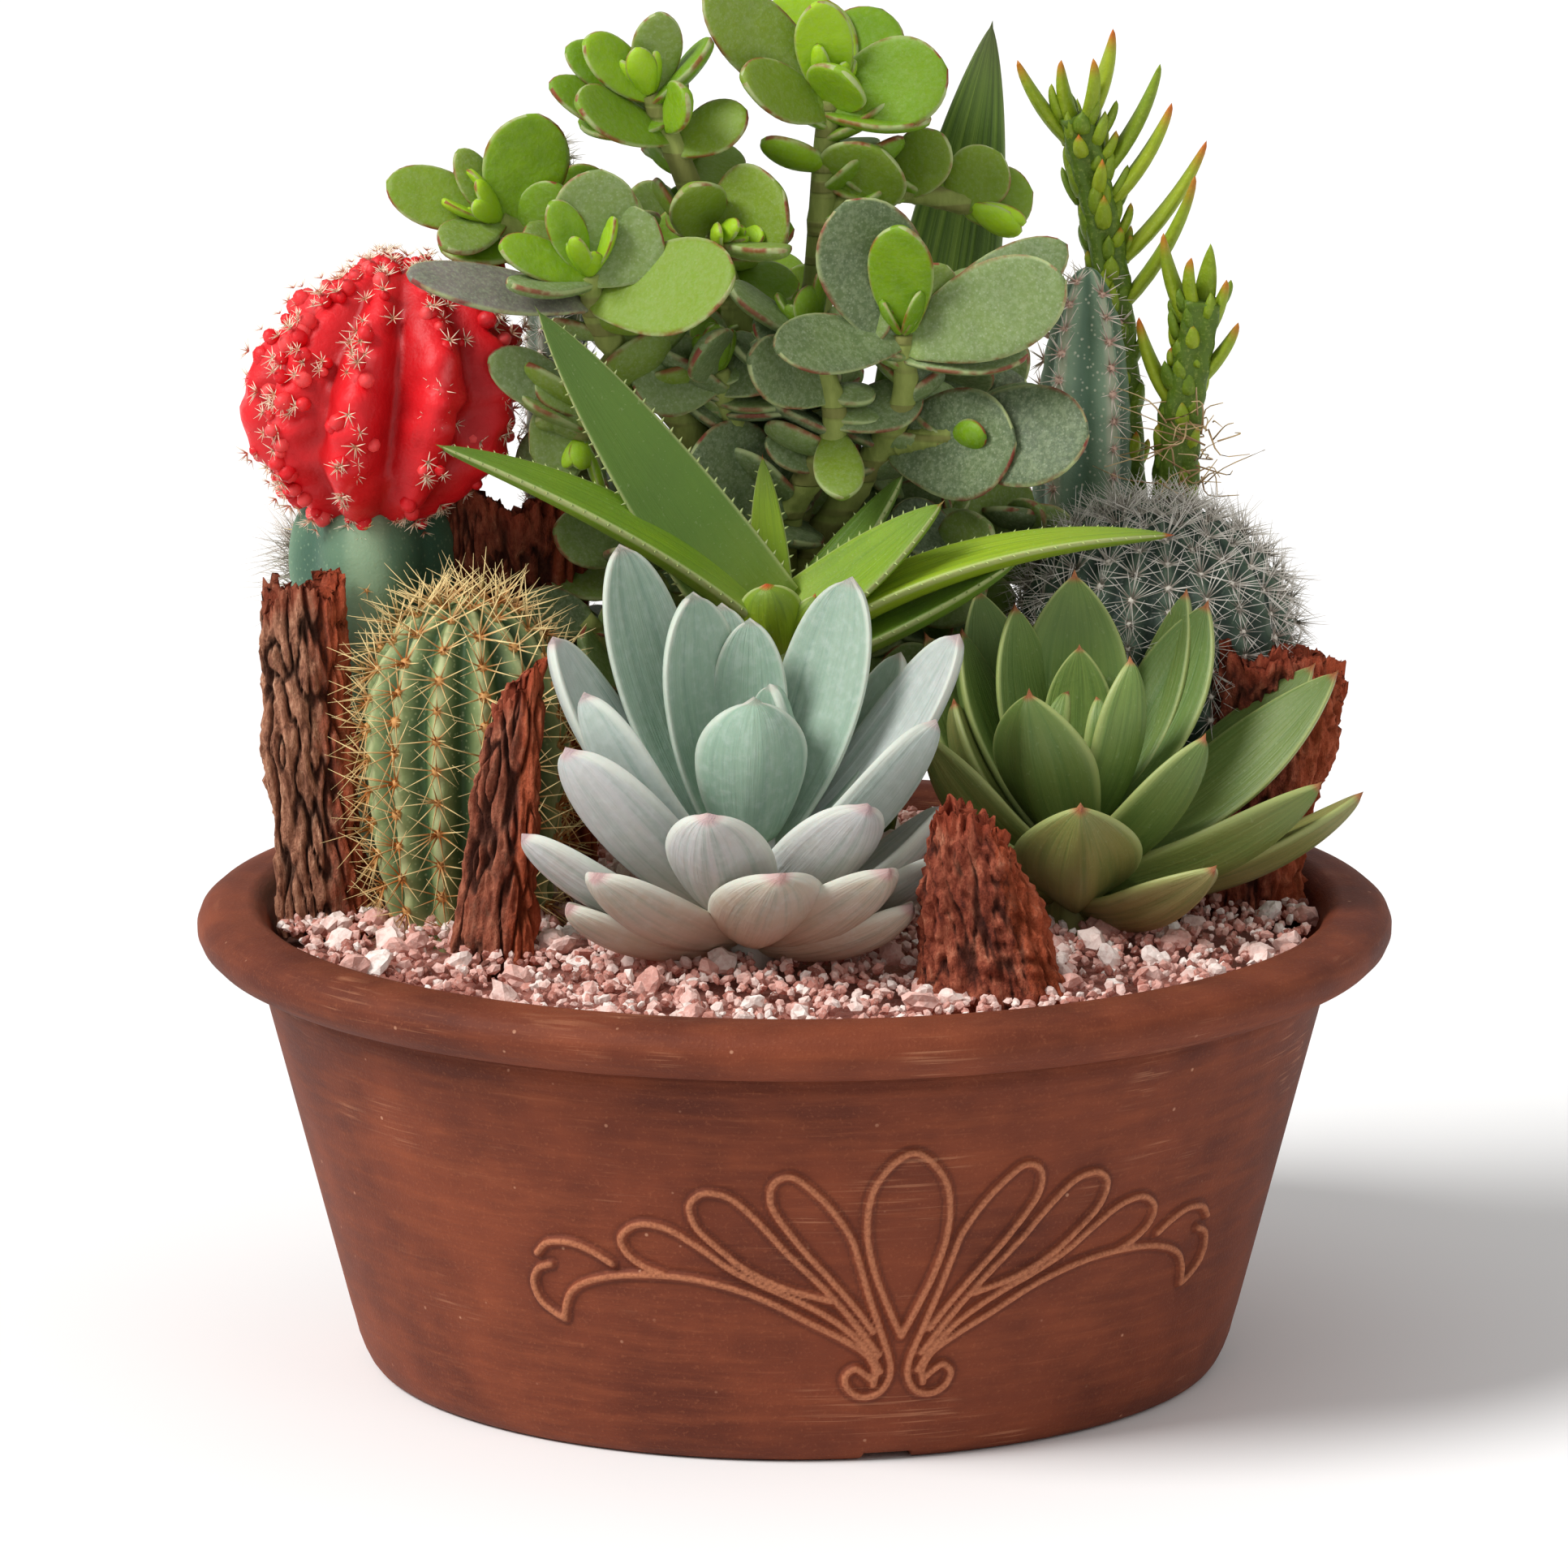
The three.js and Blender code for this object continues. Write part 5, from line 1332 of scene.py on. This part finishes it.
def jadeFinish():
    skin = fleshy("jadeLeaf", 0.28)
    along, side = skin.lay()[:2]
    tone = skin.value("tone")
    cloud = skin.grain(7, 3)
    mottle = skin.grain(1.3, 4, roughness=0.7)
    dots = skin.cells(1.1).between(0.34, 0.12)
    colour = skin.ramp(tone + (cloud - 0.5) * 0.16, [
        (0.0, tint(124, 116, 110)), (0.14, tint(80, 96, 66)), (0.36, tint(114, 134, 76)),
        (0.58, tint(118, 142, 36)), (0.8, tint(106, 144, 10)), (1.0, tint(156, 194, 24)),
    ])
    grey = tone.between(0.7, 0.3)
    colour = skin.blend(mottle.between(0.4, 0.65) * (0.1 + grey * 0.2), colour, tint(164, 176, 140))
    colour = skin.blend(dots * (0.05 + grey * 0.15), colour, tint(184, 192, 164))
    colour = skin.blend((along + cloud * 0.2).between(0.25, 0.0) * 0.6, colour, tint(176, 202, 96))
    margin = (abs(side) + along ** 10 * 0.3).between(0.88, 1.02)
    redness = cloud.between(0.42, 0.62)
    edge = skin.blend(redness, tint(170, 182, 126), tint(136, 44, 40))
    colour = skin.blend(margin * 0.85, colour, edge)
    return skin.paint(colour, 0.42 + mottle * 0.2, [(mottle, 0.14), (cloud, 0.5)])


def jadeWoodFinish():
    wood = Finish("jadeWood", {"Specular IOR Level": 0.25})
    tone = wood.value("tone")
    fibre = wood.grain(2, 4, wood.where((1, 1, 0.3)))
    rings = (wood.grain(4, 1, wood.where((0.05, 0.05, 1)))).between(0.5, 0.6)
    young = wood.blend(fibre, tint(118, 140, 58), tint(164, 182, 92))
    old = wood.blend(fibre, tint(96, 82, 54), tint(150, 132, 96))
    colour = wood.blend(tone, old, young)
    colour = wood.blend(rings * 0.4, colour, tint(98, 74, 50))
    return wood.paint(colour, 0.7 + fibre * 0.15, [(fibre, 0.4), (rings, 0.3)])


def jadeLeaf(mesh, root, tip, width, degrees, tone, dice):
    look = math.radians(degrees)
    facing = Vector((0.1 + dice.uniform(-0.2, 0.2), -math.sin(look), math.cos(look)))
    leaf(mesh, root, tip, width, 4.6, "paddle", facing, 0.05 + dice.uniform(-0.02, 0.05), 3, tone,
         twist=dice.uniform(-0.25, 0.25), wave=0.03, sides=18, stations=14)


def rearLimit(x, rear):                    # the sword leaf stands behind the right half
    return jadeFill["swordClear"] if x > jadeFill["swordFrom"] else rear


def makeJade(name, row, leafSkin, wood):
    dice = random.Random("jade" + name)
    mesh, bark = fresh(), fresh()
    routes = []
    for i, points in enumerate(row["twigs"]):
        def jointed(along, angle):
            return 1 + 0.1 * max(0, math.cos(along * 40)) ** 6
        routes.append(stem(bark, points, 3.4 if i else 4.6, 2.6, 14, 40, 0.7, jointed))
    for twig, share, tip, width, degrees, tone in row["leaves"]:
        jadeLeaf(mesh, routes[twig](share), tip, width, degrees, tone, dice)
    ceiling = cadBox[1].z / mm - jadeFill["underTop"]
    for twig, route in enumerate(routes):
        end = route(1)
        way = (route(1) - route(0.9)).normalized()
        for i in range(jadeFill["buds"]):      # the bright new leaves at a growing tip
            angle = i * 2.4 + dice.random()
            out = Vector((math.cos(angle), math.sin(angle), 0)) * 0.5 + way
            tip = end + out.normalized() * dice.uniform(*jadeFill["budReach"])
            if tip.z < ceiling:
                leaf(mesh, end, tip, dice.uniform(*jadeFill["budWidth"]), 2.8, "paddle",
                     way - out * 0.8 + up * 0.1, 0.1, 1, min(1, row["tone"] + 0.45), sides=12, stations=10)
        older = jadeFill["topSide"] if name == "top" and twig else jadeFill["perTwig"]
        for i in range(older):             # older leaves down the twig, most to the rear
            share = 0.35 + 0.6 * (i + dice.random() * 0.5) / older
            angle = dice.uniform(-0.3, math.pi + 0.3)
            spot = route(share)
            reach = dice.uniform(*jadeFill["reach"])
            way = Vector((math.cos(angle), math.sin(angle), dice.uniform(-0.1, 0.8))).normalized()
            tip = spot + way * reach
            tip.x = min(max(tip.x, jadeFill["left"]), jadeFill["right"])
            tip.y = min(max(tip.y, jadeFill["front"]), rearLimit(tip.x, jadeFill["rear"]))
            tip.z = min(tip.z, ceiling)
            jadeLeaf(mesh, spot, tip, reach * dice.uniform(0.6, 0.85), dice.uniform(-40, 60),
                     row["tone"] + dice.uniform(-0.15, 0.15), dice)
    finished(bark, "jadeTwigs_" + name, wood, slot="jade_wood")
    finished(mesh, "jadeLeaves_" + name, leafSkin, ["jade_branch_" + name], "jade_leaf")


jadeShade = dict(perTwig=13, reach=(16, 26), front=22, rear=94, bright=250)
jadeRear = [                               # shaded twigs inside and behind the crown, their leaves painted dark as painted shade and lighter above the bright height as painted light
    [(-2, 56, 160), (-34, 60, 200), (-52, 62, 226)], [(0, 54, 176), (30, 62, 214), (46, 62, 246)],
    [(0, 56, 190), (-4, 76, 230), (-6, 84, 266)], [(-4, 54, 156), (-26, 42, 186), (-44, 32, 204)],
    [(0, 50, 160), (22, 40, 186), (42, 34, 204)], [(-2, 56, 200), (-30, 64, 258), (-44, 62, 284)],
    [(0, 52, 180), (2, 44, 216), (0, 36, 250)], [(2, 56, 150), (34, 58, 182), (60, 70, 208)],
    [(-4, 54, 140), (-32, 42, 162), (-53, 27, 188)], [(0, 54, 136), (24, 42, 154), (40, 32, 172)],
]


def makeJadeRear(leafSkin, wood):
    dice = random.Random("jadeRear")
    mesh, bark = fresh(), fresh()
    for points in jadeRear:
        route = stem(bark, points, 3.6, 2.4, 12, 30, 0.6)
        for i in range(jadeShade["perTwig"]):
            share = 0.3 + 0.7 * i / (jadeShade["perTwig"] - 1)
            angle = i * 2.4 + dice.uniform(-0.4, 0.4)
            spot = route(share)
            reach = dice.uniform(*jadeShade["reach"])
            way = Vector((math.cos(angle), math.sin(angle) * 0.8, dice.uniform(-0.1, 0.8))).normalized()
            tip = spot + way * reach
            tip.y = max(min(tip.y, rearLimit(tip.x, jadeShade["rear"])), jadeShade["front"])
            # painted shade: dark tones for these inner leaves; painted light: lighter tones above the bright
            # height
            jadeLeaf(mesh, spot, tip, reach * dice.uniform(0.65, 0.9), dice.uniform(20, 80),
                     dice.uniform(0.12, 0.5) + (0.3 if spot.z > jadeShade["bright"] else 0), dice)
    finished(bark, "jadeTwigsRear", wood, slot="jade_wood")
    finished(mesh, "jadeLeavesRear", leafSkin, slot="jade_leaf")


jadeSkin, jadeWood = jadeFinish(), jadeWoodFinish()
trunkMesh = fresh()
stem(trunkMesh, jadeTrunk["route"], jadeTrunk["rootRadius"], jadeTrunk["tipRadius"], 24, 60, 0.2,
     lambda along, angle: 1 + 0.08 * max(0, math.cos(along * 55)) ** 8)
finished(trunkMesh, "jadeStem", jadeWood, ["jade_trunk"], "jade_wood")
for name, row in jade.items():
    makeJade(name, row, jadeSkin, jadeWood)
makeJadeRear(jadeSkin, jadeWood)
print("jade plant")


# ---- floor, light and camera

stage = dict(
    floorSize=14, camera=(-2.64, -2543.2, 686.6), pitch=78, lens=238.3, sensor=36, farthest=50,
    sky=0.52, softness=26, suns={"key": (2.95, (46, 0, -62)), "fill": (0.16, (60, 0, 40))},
)


def makeStage():
    plain = Finish("paleFloor", {"Specular IOR Level": 0.1})
    haze = plain.grain(900, 2)
    floorMesh = bmesh.new()
    bmesh.ops.create_grid(floorMesh, x_segments=2, y_segments=2, size=stage["floorSize"])
    data = bpy.data.meshes.new("floor")
    floorMesh.to_mesh(data)
    floorMesh.free()
    data.materials.append(plain.paint(
        plain.blend(haze, tint(247, 246, 245), tint(250, 249, 248)), 0.9 + haze * 0.05, [(haze, 0.01)]))
    floor = bpy.data.objects.new("floor", data)
    bpy.context.scene.collection.objects.link(floor)

    world = bpy.data.worlds.new("softSky")
    world.use_nodes = True
    tree = world.node_tree
    sky, backdrop = tree.nodes["Background"], tree.nodes.new("ShaderNodeBackground")
    for light in (sky, backdrop):
        light.inputs["Color"].default_value = (1, 1, 1, 1)
    sky.inputs["Strength"].default_value = stage["sky"]
    seen, mix = tree.nodes.new("ShaderNodeLightPath"), tree.nodes.new("ShaderNodeMixShader")
    shaders = (seen.outputs["Is Camera Ray"], sky.outputs[0], backdrop.outputs[0])
    for place, socket in enumerate(shaders):   # the camera sees white, the plants a softer sky
        tree.links.new(socket, mix.inputs[place])
    tree.links.new(mix.outputs[0], tree.nodes["World Output"].inputs["Surface"])
    bpy.context.scene.world = world
    for name, (strength, turn) in stage["suns"].items():
        lamp = bpy.data.lights.new(name, "SUN")
        lamp.energy = strength
        lamp.angle = math.radians(stage["softness"])
        light = bpy.data.objects.new(name, lamp)
        light.rotation_euler = [math.radians(a) for a in turn]
        bpy.context.scene.collection.objects.link(light)

    lens = bpy.data.cameras.new("camera")
    lens.lens = stage["lens"]
    lens.sensor_width = stage["sensor"]
    lens.clip_end = stage["farthest"]
    camera = bpy.data.objects.new("camera", lens)
    camera.location = Vector(stage["camera"]) * mm
    camera.rotation_euler = (math.radians(stage["pitch"]), 0, 0)
    bpy.context.scene.collection.objects.link(camera)
    bpy.context.scene.camera = camera


makeStage()
bpy.context.scene.view_settings.view_transform = "Standard"
print("stage")
